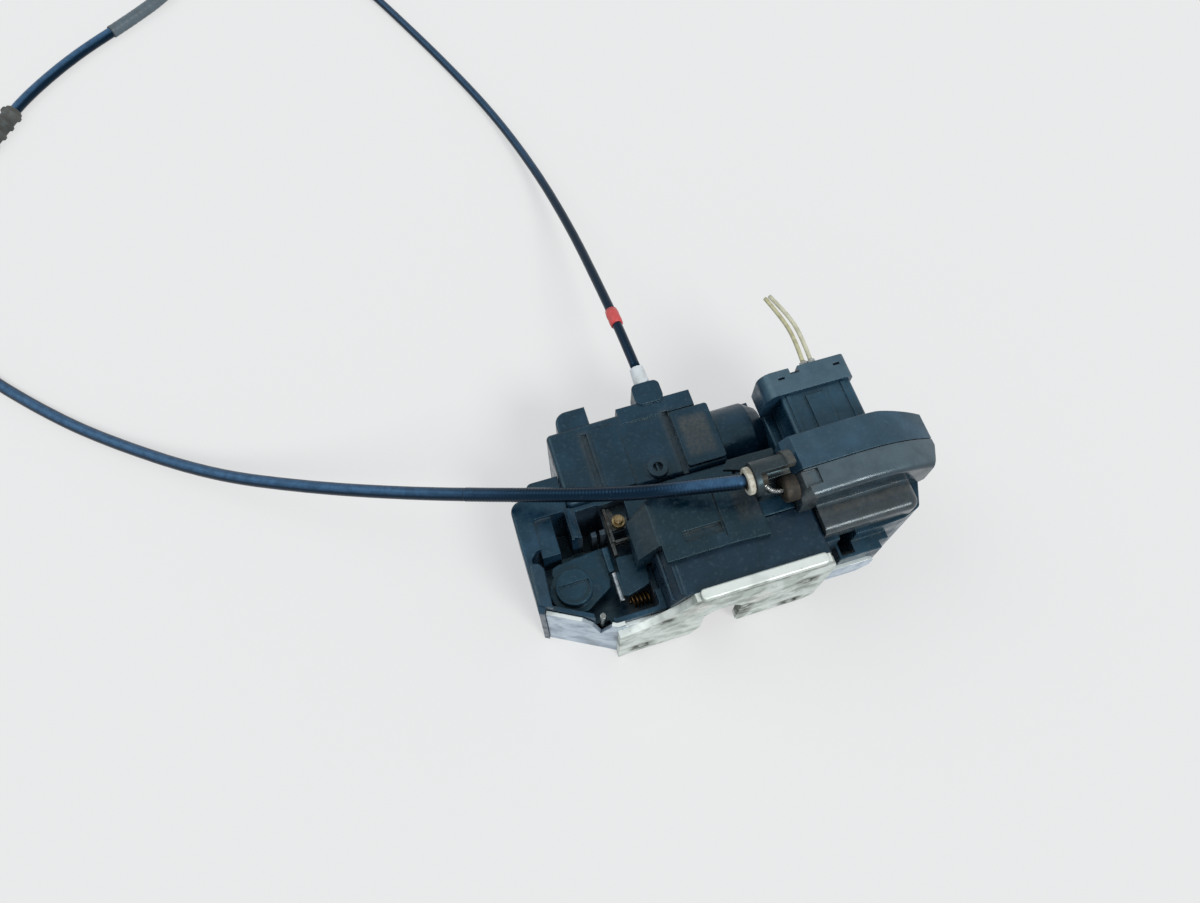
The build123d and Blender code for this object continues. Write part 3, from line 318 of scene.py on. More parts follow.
for piece in (panel_clip, outer_sleeve):
    press_flat(piece)
for piece, node, slot in (
        (panel_clip, "cable_clip", "clip_plastic"),
        (outer_sleeve, "cable_sleeve", "sleeve_grey"),
        (red_band, "rear_band", "band_red")):
    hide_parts(node)
print("pressed flat:", panel_clip.name, outer_sleeve.name)

# %% [markdown]
# Near its seat the front sheath shows the winding of its armour as fine ribs, about 1.2 mm apart. A bump
# could fake them, but the outline of the cable would stay straight, so they are thin rings on a short skin.

# %% Ribs near the front seat
RIB_PITCH, RIB_HEIGHT, RIB_FROM, RIB_TO = 0.00125, 0.00007, 0.003, 0.105
SKIN_R = FRONT_D * MM / 2 + 0.00005
SKIN_EDGE = 0.0003


def rib_profile(start, stop):
    """Rings of the ribbed skin, thinned at both ends so that it melts into the sheath."""
    profile = [(start, SKIN_R - SKIN_EDGE)]
    distance = start
    while distance < stop:
        for share, rise in ((0.10, 0.0), (0.35, RIB_HEIGHT), (0.65, RIB_HEIGHT), (0.90, 0.0)):
            profile.append((distance + share * RIB_PITCH, SKIN_R + rise))
        distance += RIB_PITCH
    return profile + [(distance, SKIN_R - SKIN_EDGE)]


armour_ribs = rings_along("front_armour_ribs", front_line, rib_profile(RIB_FROM, RIB_TO))
print("armour ribs:", int((RIB_TO - RIB_FROM) / RIB_PITCH))

# %% [markdown]
# Between the motor's round case and the housing beside it the moulding has a low web that ties the two.
# Without it the bench would shine up through the gap. It is a plain rounded block, low down, so three bevel
# segments are enough. The wall of the connector tower stands just as plainly beside it.

# %% Web between the cases, and the tower's wall
WEB_AT, WEB_SIZE, WEB_ROUNDING = (73.5, 53.0, 6.0), (24.0, 16.0, 5.0), 1.0
WALL_AT, WALL_SIZE, WALL_ROUNDING = (83.4, 59.5, 20.5), (4.3, 16.0, 38.0), 0.8

web_bm = bmesh.new()
add_block(web_bm, WEB_AT, WEB_SIZE, rounding=WEB_ROUNDING)
case_web = linked("motor_case_web", web_bm)

tower_bm = bmesh.new()
add_block(tower_bm, WALL_AT, WALL_SIZE, rounding=WALL_ROUNDING)
tower_wall = linked("connector_tower_wall", tower_bm)
print("web faces:", len(case_web.data.polygons), "wall faces:", len(tower_wall.data.polygons))

# %% [markdown]
# Where the inner wire leaves its ferrule it runs through a close wound steel liner before the rubber boot.
# The liner is a tube with a ring for every turn of its winding: at a pitch of half a millimetre the rings
# are too fine for anyone to see that they don't join into a helix, and they need far fewer faces.

# %% Wound liner round the inner wire
LINER_ROUTE = [
    (61.8, 31.6, 67.2), (63.2, 30.2, 65.6), (65.0, 28.4, 63.7), (67.6, 27.3, 62.7), (70.6, 27.2, 62.6)]
LINER_R, WINDING_PITCH, LINER_SIDES = 1.15, 0.55, 14
GROOVE_R = LINER_R - 0.14

liner_line = spline_points("wire_liner", LINER_ROUTE)
liner_profile = []
turn_at = 0.0
while turn_at < distances(liner_line)[-1] - WINDING_PITCH * MM:
    for share, radius in ((0.08, GROOVE_R), (0.34, LINER_R), (0.60, LINER_R), (0.86, GROOVE_R)):
        liner_profile.append((turn_at + share * WINDING_PITCH * MM, radius * MM))
    turn_at += WINDING_PITCH * MM
wire_liner = rings_along("wound_wire_liner", liner_line, liner_profile, sides=LINER_SIDES)
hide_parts("inner_wire")
print("turns in the liner:", len(liner_profile) // 4)

# %% [markdown]
# A tube alone doesn't say how long a cable is or what hangs on it.

# %% The cords
print("cords declared:", front_cable.name, rear_cable.name, wire_left.name, wire_right.name)

# %% [markdown]
# The floor is a big pale sheet. Shadows on it should be faint, so for rays that go straight from the camera
# its plain diffuse colour is mixed with a flat glow of the same pale grey. The light on the object does not
# change, because only camera, glossy and transmission rays see that glow.

# %% Floor
PAPER = (0.868, 0.868, 0.865, 1.0)
FLOOR_SIZE = 12.0
FLOOR_GLOW = 0.6


def seen_directly(nodes, links):
    """1 for camera, glossy and transmission rays, else 0."""
    path = nodes.new("ShaderNodeLightPath")
    total = path.outputs["Is Camera Ray"]
    for name in ("Is Glossy Ray", "Is Transmission Ray"):
        either = nodes.new("ShaderNodeMath")
        either.operation = "MAXIMUM"
        links.new(total, either.inputs[0])
        links.new(path.outputs[name], either.inputs[1])
        total = either.outputs[0]
    return total


def floor_material():
    """Paper that takes faint shadows."""
    material = bpy.data.materials.new("pale_floor")
    material.use_nodes = True
    nodes, links = material.node_tree.nodes, material.node_tree.links
    nodes.clear()
    lit = nodes.new("ShaderNodeBsdfDiffuse")
    lit.inputs["Color"].default_value = PAPER
    glow = nodes.new("ShaderNodeEmission")
    glow.inputs["Color"].default_value = PAPER
    share = nodes.new("ShaderNodeMath")
    share.operation = "MULTIPLY"
    share.inputs[1].default_value = FLOOR_GLOW
    links.new(seen_directly(nodes, links), share.inputs[0])
    mix = nodes.new("ShaderNodeMixShader")
    links.new(share.outputs[0], mix.inputs["Fac"])
    links.new(lit.outputs[0], mix.inputs[1])
    links.new(glow.outputs[0], mix.inputs[2])
    output = nodes.new("ShaderNodeOutputMaterial")
    links.new(mix.outputs[0], output.inputs["Surface"])
    return material


floor_mesh = bpy.data.meshes.new("floor")
floor_bm = bmesh.new()
bmesh.ops.create_grid(floor_bm, x_segments=1, y_segments=1, size=FLOOR_SIZE / 2)
floor_bm.to_mesh(floor_mesh)
floor_bm.free()
floor_mesh.materials.append(floor_material())
floor = bpy.data.objects.new("floor", floor_mesh)
bpy.context.collection.objects.link(floor)
print("floor side:", FLOOR_SIZE, "m")

# %% [markdown]
# The world works the same way: seen directly it is the floor's pale grey, so no edge shows where the sheet
# ends, and as light it is a soft, slightly cold sky. An image of a studio could light it too, but a plain
# colour is enough where two lamps give the direction.

# %% The world, seen and as light
WORLD_LIGHT = 0.40
NORTH_SKY = (0.94, 1.0, 1.08, 1.0)

world = bpy.data.worlds.new("studio")
world.use_nodes = True
bpy.context.scene.world = world
world_nodes, world_links = world.node_tree.nodes, world.node_tree.links
world_nodes.clear()
soft = world_nodes.new("ShaderNodeBackground")
soft.inputs["Color"].default_value = NORTH_SKY
soft.inputs["Strength"].default_value = WORLD_LIGHT
paper = world_nodes.new("ShaderNodeBackground")
paper.inputs["Color"].default_value = PAPER
world_mix = world_nodes.new("ShaderNodeMixShader")
world_links.new(seen_directly(world_nodes, world_links), world_mix.inputs["Fac"])
world_links.new(soft.outputs[0], world_mix.inputs[1])
world_links.new(paper.outputs[0], world_mix.inputs[2])
world_output = world_nodes.new("ShaderNodeOutputWorld")
world_links.new(world_mix.outputs[0], world_output.inputs["Surface"])
print("world light:", WORLD_LIGHT)

# %% [markdown]
# Two suns with a wide angle act as big soft windows. The main one stands in front and to the right, which
# lays the shadows back and left and runs a bright line along the rounded front edges of the plastic.

# %% Lamps
def sun(name, towards, strength, angle, tint):
    """Lamp that shines along a direction; its angle in degrees is how wide the window looks."""
    lamp = bpy.data.lights.new(name, "SUN")
    lamp.energy = strength
    lamp.angle = math.radians(angle)
    lamp.color = tint
    holder = bpy.data.objects.new(name, lamp)
    holder.rotation_euler = Vector(towards).to_track_quat("-Z", "Y").to_euler()
    bpy.context.collection.objects.link(holder)


sun("window_front_right", (-0.30, 0.70, -0.72), 1.60, 22.0, (1.0, 0.99, 0.97))
sun("window_back_left", (0.55, -0.45, -0.75), 0.55, 40.0, (0.96, 0.99, 1.0))

# %% [markdown]
# Every finish below is a node tree around one Principled shader. Patterns read Object coordinates, which are
# the frame's own metres, so a grain of one millimetre is one millimetre on every piece. The tools that the
# finishes share are kept in one small class: noise of a given size, a clamp between two levels, a colour
# blend, and a mask of the edges. That mask compares the face's own direction with the Bevel node's rounded
# one: they differ only near an edge, where moulded plastic is rubbed pale and also gets a painted highlight,
# and where dust collects.

# %% Shared finish tools
def colour(r, g, b):
    """Linear colour with full opacity."""
    return (r, g, b, 1.0)


class Finish:
    """One material being made: its nodes, its shader and its base colour so far."""

    def __init__(self, name, roughness, metallic=0.0, specular=0.5):
        self.material = bpy.data.materials.new(name)
        self.material.use_nodes = True
        self.nodes = self.material.node_tree.nodes
        self.links = self.material.node_tree.links
        self.shader = self.nodes["Principled BSDF"]
        self.shader.inputs["Roughness"].default_value = roughness
        self.shader.inputs["Metallic"].default_value = metallic
        self.shader.inputs["Specular IOR Level"].default_value = specular
        self.place = self.nodes.new("ShaderNodeTexCoord").outputs["Object"]

    def maths(self, operation, a, b):
        """One sum of two sockets or plain numbers."""
        node = self.nodes.new("ShaderNodeMath")
        node.operation = operation
        for socket, value in zip(node.inputs, (a, b)):
            if isinstance(value, (int, float)):
                socket.default_value = value
            else:
                self.links.new(value, socket)
        return node.outputs[0]

    def noise(self, size_mm, detail=3.0, stretch=(1.0, 1.0, 1.0), distortion=0.0):
        """Cloudy pattern whose blotches are about size_mm across."""
        mapping = self.nodes.new("ShaderNodeMapping")
        mapping.inputs["Scale"].default_value = stretch
        self.links.new(self.place, mapping.inputs["Vector"])
        node = self.nodes.new("ShaderNodeTexNoise")
        node.inputs["Scale"].default_value = 1.0 / (size_mm * MM)
        node.inputs["Detail"].default_value = detail
        node.inputs["Distortion"].default_value = distortion
        self.links.new(mapping.outputs[0], node.inputs["Vector"])
        return node.outputs["Fac"]

    def grains(self, size_mm):
        """Distance to the nearest of many scattered points, for specks and pits."""
        node = self.nodes.new("ShaderNodeTexVoronoi")
        node.inputs["Scale"].default_value = 1.0 / (size_mm * MM)
        self.links.new(self.place, node.inputs["Vector"])
        return node.outputs["Distance"]

    def between(self, value, low, high, result_low=0.0, result_high=1.0):
        """Smooth ramp: result_low where the value is low, result_high where it is high."""
        node = self.nodes.new("ShaderNodeMapRange")
        node.interpolation_type = "SMOOTHSTEP"
        node.inputs["From Min"].default_value = low
        node.inputs["From Max"].default_value = high
        node.inputs["To Min"].default_value = result_low
        node.inputs["To Max"].default_value = result_high
        self.links.new(value, node.inputs["Value"])
        return node.outputs["Result"]

    def blend(self, share, first, second):
        """Mix of two colours or sockets; a share of 0 gives the first."""
        node = self.nodes.new("ShaderNodeMix")
        node.data_type = "RGBA"
        self.links.new(share, node.inputs["Factor"])
        for index, value in ((6, first), (7, second)):
            if isinstance(value, tuple):
                node.inputs[index].default_value = value
            else:
                self.links.new(value, node.inputs[index])
        return node.outputs[2]

    def axis(self, index):
        """Frame coordinate along X, Y or Z in metres."""
        node = self.nodes.new("ShaderNodeSeparateXYZ")
        self.links.new(self.place, node.inputs[0])
        return node.outputs[index]

    def region(self, low, high, soft_mm=1.5):
        """1 inside a box given in millimetres on the latch, fading out over its soft border."""
        low_m, high_m, soft = at(*low), at(*high), soft_mm * MM
        share = None
        for index in range(3):
            value = self.axis(index)
            rise = self.between(value, low_m[index] - soft, low_m[index] + soft)
            fall = self.between(value, high_m[index] - soft, high_m[index] + soft, 1.0, 0.0)
            inside = self.maths("MULTIPLY", rise, fall)
            share = inside if share is None else self.maths("MULTIPLY", share, inside)
        return share

    def edges(self, radius_mm, start=0.02, full=0.30):
        """1 along sharp edges and corners."""
        bevel = self.nodes.new("ShaderNodeBevel")
        bevel.samples = 4
        bevel.inputs["Radius"].default_value = radius_mm * MM
        geometry = self.nodes.new("ShaderNodeNewGeometry")
        dot = self.nodes.new("ShaderNodeVectorMath")
        dot.operation = "DOT_PRODUCT"
        self.links.new(bevel.outputs["Normal"], dot.inputs[0])
        self.links.new(geometry.outputs["Normal"], dot.inputs[1])
        return self.between(self.maths("SUBTRACT", 1.0, dot.outputs["Value"]), start, full)

    def hollows(self, reach_mm):
        """1 deep in corners and recesses, 0 on open faces."""
        node = self.nodes.new("ShaderNodeAmbientOcclusion")
        node.samples = 4
        node.only_local = True
        node.inputs["Distance"].default_value = reach_mm * MM
        return self.maths("SUBTRACT", 1.0, node.outputs["AO"])

    def upward(self):
        """1 on faces that look up, where dust settles."""
        geometry = self.nodes.new("ShaderNodeNewGeometry")
        split = self.nodes.new("ShaderNodeSeparateXYZ")
        self.links.new(geometry.outputs["Normal"], split.inputs[0])
        return self.between(split.outputs[2], 0.55, 0.95)

    def rounded(self, radius_mm):
        """Direction of the surface as if its edges were rounded."""
        node = self.nodes.new("ShaderNodeBevel")
        node.samples = 4
        node.inputs["Radius"].default_value = radius_mm * MM
        return node.outputs["Normal"]

    def bump(self, height, depth_mm, normal=None):
        """Relief from a pattern, on top of a direction if one is given."""
        node = self.nodes.new("ShaderNodeBump")
        node.inputs["Distance"].default_value = depth_mm * MM
        self.links.new(height, node.inputs["Height"])
        if normal is not None:
            self.links.new(normal, node.inputs["Normal"])
        self.links.new(node.outputs["Normal"], self.shader.inputs["Normal"])

    def paint(self, value):
        """Base colour, plain or from a socket."""
        if isinstance(value, tuple):
            self.shader.inputs["Base Color"].default_value = value
        else:
            self.links.new(value, self.shader.inputs["Base Color"])

    def rough(self, value):
        """Roughness from a socket."""
        self.links.new(value, self.shader.inputs["Roughness"])


print("shared finish tools:", len([name for name in vars(Finish) if not name.startswith("_")]))

# %% [markdown]
# Almost everything here is black glass-filled nylon, moulded and years old. Under soft light it reads as a
# very dark blue grey with a satin skin. Three things keep it from looking like one flat colour: a cloudy
# change of tone and gloss over a few millimetres, pale edges that are partly rubbed wear and partly a painted
# highlight, and tan road dust that lies in corners. Pieces that lay open also carry a pale blue film on the
# faces that look up, partly settled dust and partly a painted sheen of the sky. One function makes them all,
# because they are one substance; its numbers say how each piece has lived.

# %% Moulded black plastic
CLOUD_LIFT, CLOUD_FLOOR = 1.7, 0.005
ROAD_DUST = colour(0.150, 0.130, 0.098)
# pale blue for scuffs and edges: on edges it is partly wear and partly a painted highlight
WEAR_AND_EDGE_HIGHLIGHT = colour(0.120, 0.165, 0.195)
# pale blue film for faces that look up: partly settled dust and partly a painted sheen of the sky
SETTLED_DUST_AND_SHEEN = colour(0.150, 0.215, 0.250)
COLD_SHEEN = colour(0.55, 0.88, 1.0)
GRAIN_MM = 0.35


def moulded(name, base, gloss, dust, wear_and_highlight, dust_and_sheen=0.0, dust_and_sheen_from=None, dusty_at=(), sheen=COLD_SHEEN):
    """Black plastic: base colour, gloss, dust in its corners, a pale top film of dust and painted sheen,
    edges pale from wear and a painted highlight, and dusty regions.
    """
    f = Finish(name, gloss, 0.0, 0.5)
    f.shader.inputs["Specular Tint"].default_value = sheen
    paler = colour(*(channel * CLOUD_LIFT + CLOUD_FLOOR for channel in base[:3]))
    clouds = f.between(f.noise(9.0, 4.0), 0.38, 0.75)
    tone = f.blend(clouds, base, paler)
    scuffs = f.between(f.noise(1.3, 6.0), 0.52, 0.74)
    tone = f.blend(f.maths("MULTIPLY", scuffs, 0.16), tone, WEAR_AND_EDGE_HIGHLIGHT)
    # painted sheen: faces that look up get a pale film, which also stands for settled dust
    film = f.maths("MULTIPLY", f.upward(), f.between(f.noise(5.0, 5.0), 0.20, 0.70, 0.55, 1.0))
    if dust_and_sheen_from is not None:
        film = f.maths("MULTIPLY", film, f.region(*dust_and_sheen_from, soft_mm=0.6))
    tone = f.blend(f.maths("MULTIPLY", film, dust_and_sheen), tone, SETTLED_DUST_AND_SHEEN)
    # pale edges: partly rubbed wear and partly a painted highlight
    edge = f.maths("MULTIPLY", f.edges(0.45), f.between(f.noise(2.2, 3.0), 0.30, 0.65))
    tone = f.blend(f.maths("MULTIPLY", edge, wear_and_highlight), tone, WEAR_AND_EDGE_HIGHLIGHT)
    lying = f.maths("MULTIPLY", f.hollows(3.5), f.between(f.noise(3.2, 5.0, distortion=0.4), 0.42, 0.66))
    share = f.maths("MULTIPLY", lying, dust)
    for low, high, amount in dusty_at:
        broken = f.between(f.noise(1.4, 6.0), 0.25, 0.75, 0.35, 1.0)
        patch = f.maths("MULTIPLY", f.region(low, high), broken)
        share = f.maths("MAXIMUM", share, f.maths("MULTIPLY", patch, amount))
    f.paint(f.blend(share, tone, ROAD_DUST))
    smears = f.between(f.noise(6.0, 4.0, stretch=(1.0, 2.5, 1.0)), 0.30, 0.75, gloss - 0.07, gloss + 0.20)
    f.rough(f.maths("ADD", smears, f.maths("MULTIPLY", share, 0.35)))
    f.bump(f.noise(GRAIN_MM, 2.0), 0.03, f.rounded(0.6))
    return f.material


print("moulded grain:", GRAIN_MM, "mm")

# %% [markdown]
# Each moulding gets its own tone, gloss and share of dust. The arch over the connector lies open and has the
# palest top film and edges, partly dust and wear and partly painted sheen and highlight. A dusty region is a
# box in millimetres on the latch and an amount, for places where more dust has gathered than corners alone
# would hold.

# %% The moulded pieces
PLASTICS = [
    moulded("mechanism_plastic", colour(0.0022, 0.0095, 0.0230), 0.28, 0.35, 0.45,
            dusty_at=[((20, 22, 34), (34, 50, 52), 0.22)]),
    moulded("lever_case_plastic", colour(0.0040, 0.0210, 0.0430), 0.26, 0.35, 0.45, dusty_at=[
        ((-2, 36, 4), (18, 50, 37), 0.30),
        ((9, 6, 18), (20, 18, 33), 0.40),
        ((-24, 14, 30), (-17, 34, 43), 0.08)]),
    moulded("latch_cover_plastic", colour(0.0010, 0.0090, 0.0180), 0.28, 0.4, 0.6, dusty_at=[
        ((53, 22, 50), (62, 46, 58), 0.20),
        ((16, 22, 50), (24, 48, 58), 0.10)]),
    moulded("release_plastic", colour(0.0020, 0.0190, 0.0380), 0.26, 0.25, 0.35),
    moulded("pivot_plastic", colour(0.0015, 0.0180, 0.0370), 0.26, 0.15, 0.25),
    moulded("flap_plastic", colour(0.0020, 0.0140, 0.0290), 0.28, 0.35, 0.5),
    moulded("actuator_case_plastic", colour(0.0010, 0.0180, 0.0450), 0.28, 0.3, 0.4),
    moulded("actuator_cover_plastic", colour(0.0013, 0.0140, 0.0310), 0.27, 0.4, 0.5, dusty_at=[
        ((48, 57, 38), (59, 74, 43), 0.46),
        ((9, 52, 36), (13, 80, 42), 0.25),
        ((42.5, 52, 36), (46, 80, 42), 0.30),
        ((30, 52, 38), (38, 60, 44), 0.12)]),
    moulded("housing_plastic", colour(0.0050, 0.0230, 0.0430), 0.28, 0.4, 0.45),
    # the arch gets the strongest painted sheen on top and painted highlight on its edges
    moulded("arch_plastic", colour(0.0110, 0.0250, 0.0360), 0.15, 0.5, 1.3, 0.42,
            dust_and_sheen_from=((76, 19.0, 50), (132, 40, 72)), sheen=colour(0.82, 0.94, 1.0), dusty_at=[
                ((80, 4, 50), (118, 15, 58), 0.22),
                ((74, 14, 53), (80, 40, 70), 0.30),
                ((80, 15, 53), (126, 18.6, 60), 0.42)]),
    moulded("arch_rear_plastic", colour(0.0085, 0.0300, 0.0560), 0.24, 0.5, 0.8, 0.16),
    moulded("bracket_plastic", colour(0.0040, 0.0080, 0.0120), 0.32, 0.6, 0.3, dusty_at=[
        ((57, 25, 60), (76, 40, 76), 0.10),
        ((71, 30, 60), (76, 40, 76), 0.60)]),
    moulded("clip_plastic", colour(0.0500, 0.0460, 0.0400), 0.5, 0.6, 0.5),
    moulded("plug_plastic", colour(0.0040, 0.0260, 0.0500), 0.27, 0.3, 0.45, 0.08),
    moulded("cap_plastic", colour(0.0120, 0.0400, 0.0720), 0.27, 0.3, 0.6, 0.40),
]
print("plastics:", len(PLASTICS))

# %% [markdown]
# The latch plate is zinc plated steel that was touched up with pale chromate: a mottled grey green, dull in
# patches, with dark specks where dirt has stuck. The wing in front of the levers is the same steel but
# smoother and bluer. A metal's look comes from its gloss, so the mottling drives roughness as much as colour.
# Pins, springs, rods and brass parts are plain metal: streaks run the way each was drawn or turned, and old
# grease lies in their corners.

# %% Zinc plated steel, and plain steel and brass
# pale zinc painted on faces that look up, as a sheen of light
ZINC_TOP_SHEEN = colour(0.86, 0.92, 0.88)
OLD_GREASE = colour(0.045, 0.036, 0.024)


def zinc(name, bright, dull, speck, roughness, metallic, speck_share, top_shine=0.8, dirt_and_shade_at=()):
    """Plated sheet: mottled, stained, pale on top as a painted sheen, with dirt where it sits in holes and
    corners, and darker given boxes, one of them a painted shadow.
    """
    f = Finish(name, roughness, metallic, 0.4)
    clouds = f.between(f.noise(7.0, 5.0, distortion=0.6), 0.34, 0.66)
    fine = f.between(f.noise(1.6, 4.0), 0.35, 0.70)
    tone = f.blend(clouds, bright, dull)
    tone = f.blend(f.maths("MULTIPLY", fine, 0.35), tone, dull)
    stains = f.maths("MULTIPLY", f.between(f.noise(7.0, 7.0), 0.52, 0.68), speck_share)
    specks = f.between(f.grains(2.6), 0.10, 0.22, 0.55, 0.0)
    specks = f.maths("MULTIPLY", specks, f.between(f.noise(10.0, 2.0), 0.45, 0.62))
    dirt = f.maths("MAXIMUM", stains, specks)
    for low, high, amount in dirt_and_shade_at:
        broken = f.between(f.noise(2.5, 5.0), 0.25, 0.60, 0.3, 1.0)
        patch = f.maths("MULTIPLY", f.region(low, high, 2.0), broken)
        dirt = f.maths("MAXIMUM", dirt, f.maths("MULTIPLY", patch, amount))
    # painted sheen: faces that look up are blended towards pale zinc and their dirt is thinned
    tone = f.blend(f.maths("MULTIPLY", f.upward(), top_shine), tone, ZINC_TOP_SHEEN)
    dirt = f.maths("MULTIPLY", dirt, f.maths("SUBTRACT", 1.0, f.maths("MULTIPLY", f.upward(), 0.7)))
    f.paint(f.blend(dirt, tone, speck))
    f.rough(f.maths("ADD", f.between(clouds, 0.0, 1.0, roughness - 0.08, roughness + 0.14),
                    f.maths("MULTIPLY", dirt, 0.2)))
    f.bump(f.noise(0.8, 3.0), 0.02, f.rounded(0.3))
    return f.material


def steel(name, tone_a, tone_b, roughness, streak=(1.0, 1.0, 1.0), metallic=1.0, grease=0.0):
    """Plain, drawn or oiled steel: streaks along one direction, grease in its corners."""
    f = Finish(name, roughness, metallic, 0.5)
    streaks = f.between(f.noise(1.2, 4.0, stretch=streak), 0.32, 0.68)
    tone = f.blend(streaks, tone_a, tone_b)
    film = f.maths("MULTIPLY", f.between(f.noise(3.5, 4.0), 0.35, 0.65), grease)
    corner = f.maths("MULTIPLY", f.hollows(2.5), 0.7)
    tone = f.blend(f.maths("MAXIMUM", film, corner), tone, OLD_GREASE)
    f.paint(tone)
    f.rough(f.between(f.noise(2.0, 3.0), 0.3, 0.7, roughness - 0.07, roughness + 0.12))
    f.bump(f.noise(0.5, 2.0, stretch=streak), 0.015, f.rounded(0.2))
    return f.material


print("ways to finish metal:", zinc.__name__, steel.__name__)

# %% [markdown]
# The plate has regions of dirt round its holes, darker regions beside and inside its mouth, and a band of
# painted shadow under its top flange. The plain metals differ in tone, gloss, the direction of their streaks
# and how much old grease they hold.

# %% The metal pieces
METALS = [
    zinc("galvanised_plate", colour(0.70, 0.76, 0.72), colour(0.46, 0.52, 0.48), colour(0.060, 0.066, 0.052),
         0.46, 0.35, 0.42, top_shine=0.70, dirt_and_shade_at=[
             ((70, -3, 30), (79, 4, 38), 1.0),
             ((68, -3, 3), (77, 4, 10.5), 1.0),
             ((6, -3, 5), (15, 4, 13), 1.0),
             ((16, -3, 35), (22, 4, 41), 1.0),
             # painted shadow: the dark band under the top flange
             ((28, -3, 48), (79, 4, 53.5), 0.75),
             # darker beside and inside the mouth
             ((49.5, -3, 10), (55, 4, 26), 0.9),
             ((48, -3, 10), (53, 16, 26), 0.9)]),
    zinc("galvanised_wing", colour(0.50, 0.60, 0.69), colour(0.36, 0.44, 0.52), colour(0.150, 0.160, 0.160),
         0.38, 0.45, 0.35),
    zinc("rivet_steel", colour(0.70, 0.72, 0.69), colour(0.54, 0.57, 0.54), colour(0.090, 0.088, 0.075),
         0.36, 0.6, 0.3),
    steel("backing_steel", colour(0.32, 0.33, 0.34), colour(0.45, 0.46, 0.47), 0.42, (1, 1, 4)),
    steel("catch_steel", colour(0.10, 0.105, 0.11), colour(0.22, 0.22, 0.23), 0.36, grease=0.5),
    steel("spring_wire", colour(0.20, 0.20, 0.21), colour(0.34, 0.34, 0.35), 0.34, grease=0.3),
    steel("bright_pin", colour(0.17, 0.20, 0.20), colour(0.30, 0.33, 0.32), 0.34, (1, 1, 0.3)),
    steel("frame_steel", colour(0.05, 0.06, 0.065), colour(0.14, 0.16, 0.165), 0.42, (3, 1, 1), grease=0.6),
    steel("bright_rod", colour(0.10, 0.13, 0.15), colour(0.24, 0.27, 0.29), 0.30, (0.3, 1, 1)),
    steel("pin_steel", colour(0.36, 0.37, 0.38), colour(0.50, 0.51, 0.52), 0.34),
    steel("motor_steel", colour(0.42, 0.43, 0.44), colour(0.56, 0.57, 0.58), 0.32, (0.2, 1, 1)),
    steel("crank_steel", colour(0.30, 0.31, 0.32), colour(0.46, 0.47, 0.48), 0.38, (1, 4, 1), grease=0.3),
    steel("end_fitting_steel", colour(0.46, 0.48, 0.49), colour(0.64, 0.66, 0.67), 0.32),
    steel("screw_steel", colour(0.020, 0.021, 0.022), colour(0.055, 0.055, 0.058), 0.40, metallic=0.6),
    steel("bush_brass", colour(0.26, 0.19, 0.09), colour(0.44, 0.35, 0.20), 0.38, grease=0.45),
    steel("detent_wire", colour(0.16, 0.09, 0.03), colour(0.32, 0.20, 0.09), 0.42, grease=0.6),
    steel("worm_brass", colour(0.50, 0.38, 0.18), colour(0.70, 0.58, 0.33), 0.28, (0.4, 1, 1)),
    steel("terminal_brass", colour(0.46, 0.40, 0.24), colour(0.62, 0.56, 0.40), 0.30, (1, 0.3, 1)),
]
print("metals:", len(METALS))

# %% [markdown]
# The rest are small: rubber, white nylon sleeves, cable sheath, a red film band, cream wire insulation and
# the pale nylon of the gear. The sheath is the only shiny plastic, so it gets a clear gloss with fine scuffs
# along it. Its blue streak comes from the lamps, and on some stretches a pale blue sheen is painted on its
# top as well.

# %% Rubber, nylon, sheath and insulation
# near black laid over a given box of a piece
DARKENED_END = colour(0.035, 0.030, 0.022)
# pale blue painted on the sheath's top as a sheen of light
PAINTED_SHEATH_SHEEN = colour(0.060, 0.135, 0.245)
BLUE_SHEEN = colour(0.15, 0.42, 0.78)


def soft_finish(name, base, dirt, roughness, dirt_share, specular=0.3, cloud_mm=4.0, darkened_at=None):
    """Plain moulded or extruded stuff with a cloudy film of dirt that is thicker in corners."""
    f = Finish(name, roughness, 0.0, specular)
    film = f.between(f.noise(cloud_mm, 5.0, distortion=0.5), 0.40, 0.70, 0.0, dirt_share)
    film = f.maths("MAXIMUM", film, f.maths("MULTIPLY", f.hollows(2.5), dirt_share * 1.2))
    tone = f.blend(film, base, dirt)
    # the given box is darkened almost to black; on the white ferrule it is the end that meets its bracket
    if darkened_at is not None:
        tone = f.blend(f.region(*darkened_at, soft_mm=0.5), tone, DARKENED_END)
    f.paint(tone)
    f.rough(f.between(f.noise(2.5, 3.0), 0.3, 0.7, roughness - 0.08, roughness + 0.15))
    f.bump(f.noise(0.5, 3.0), 0.03, f.rounded(0.2))
    return f.material


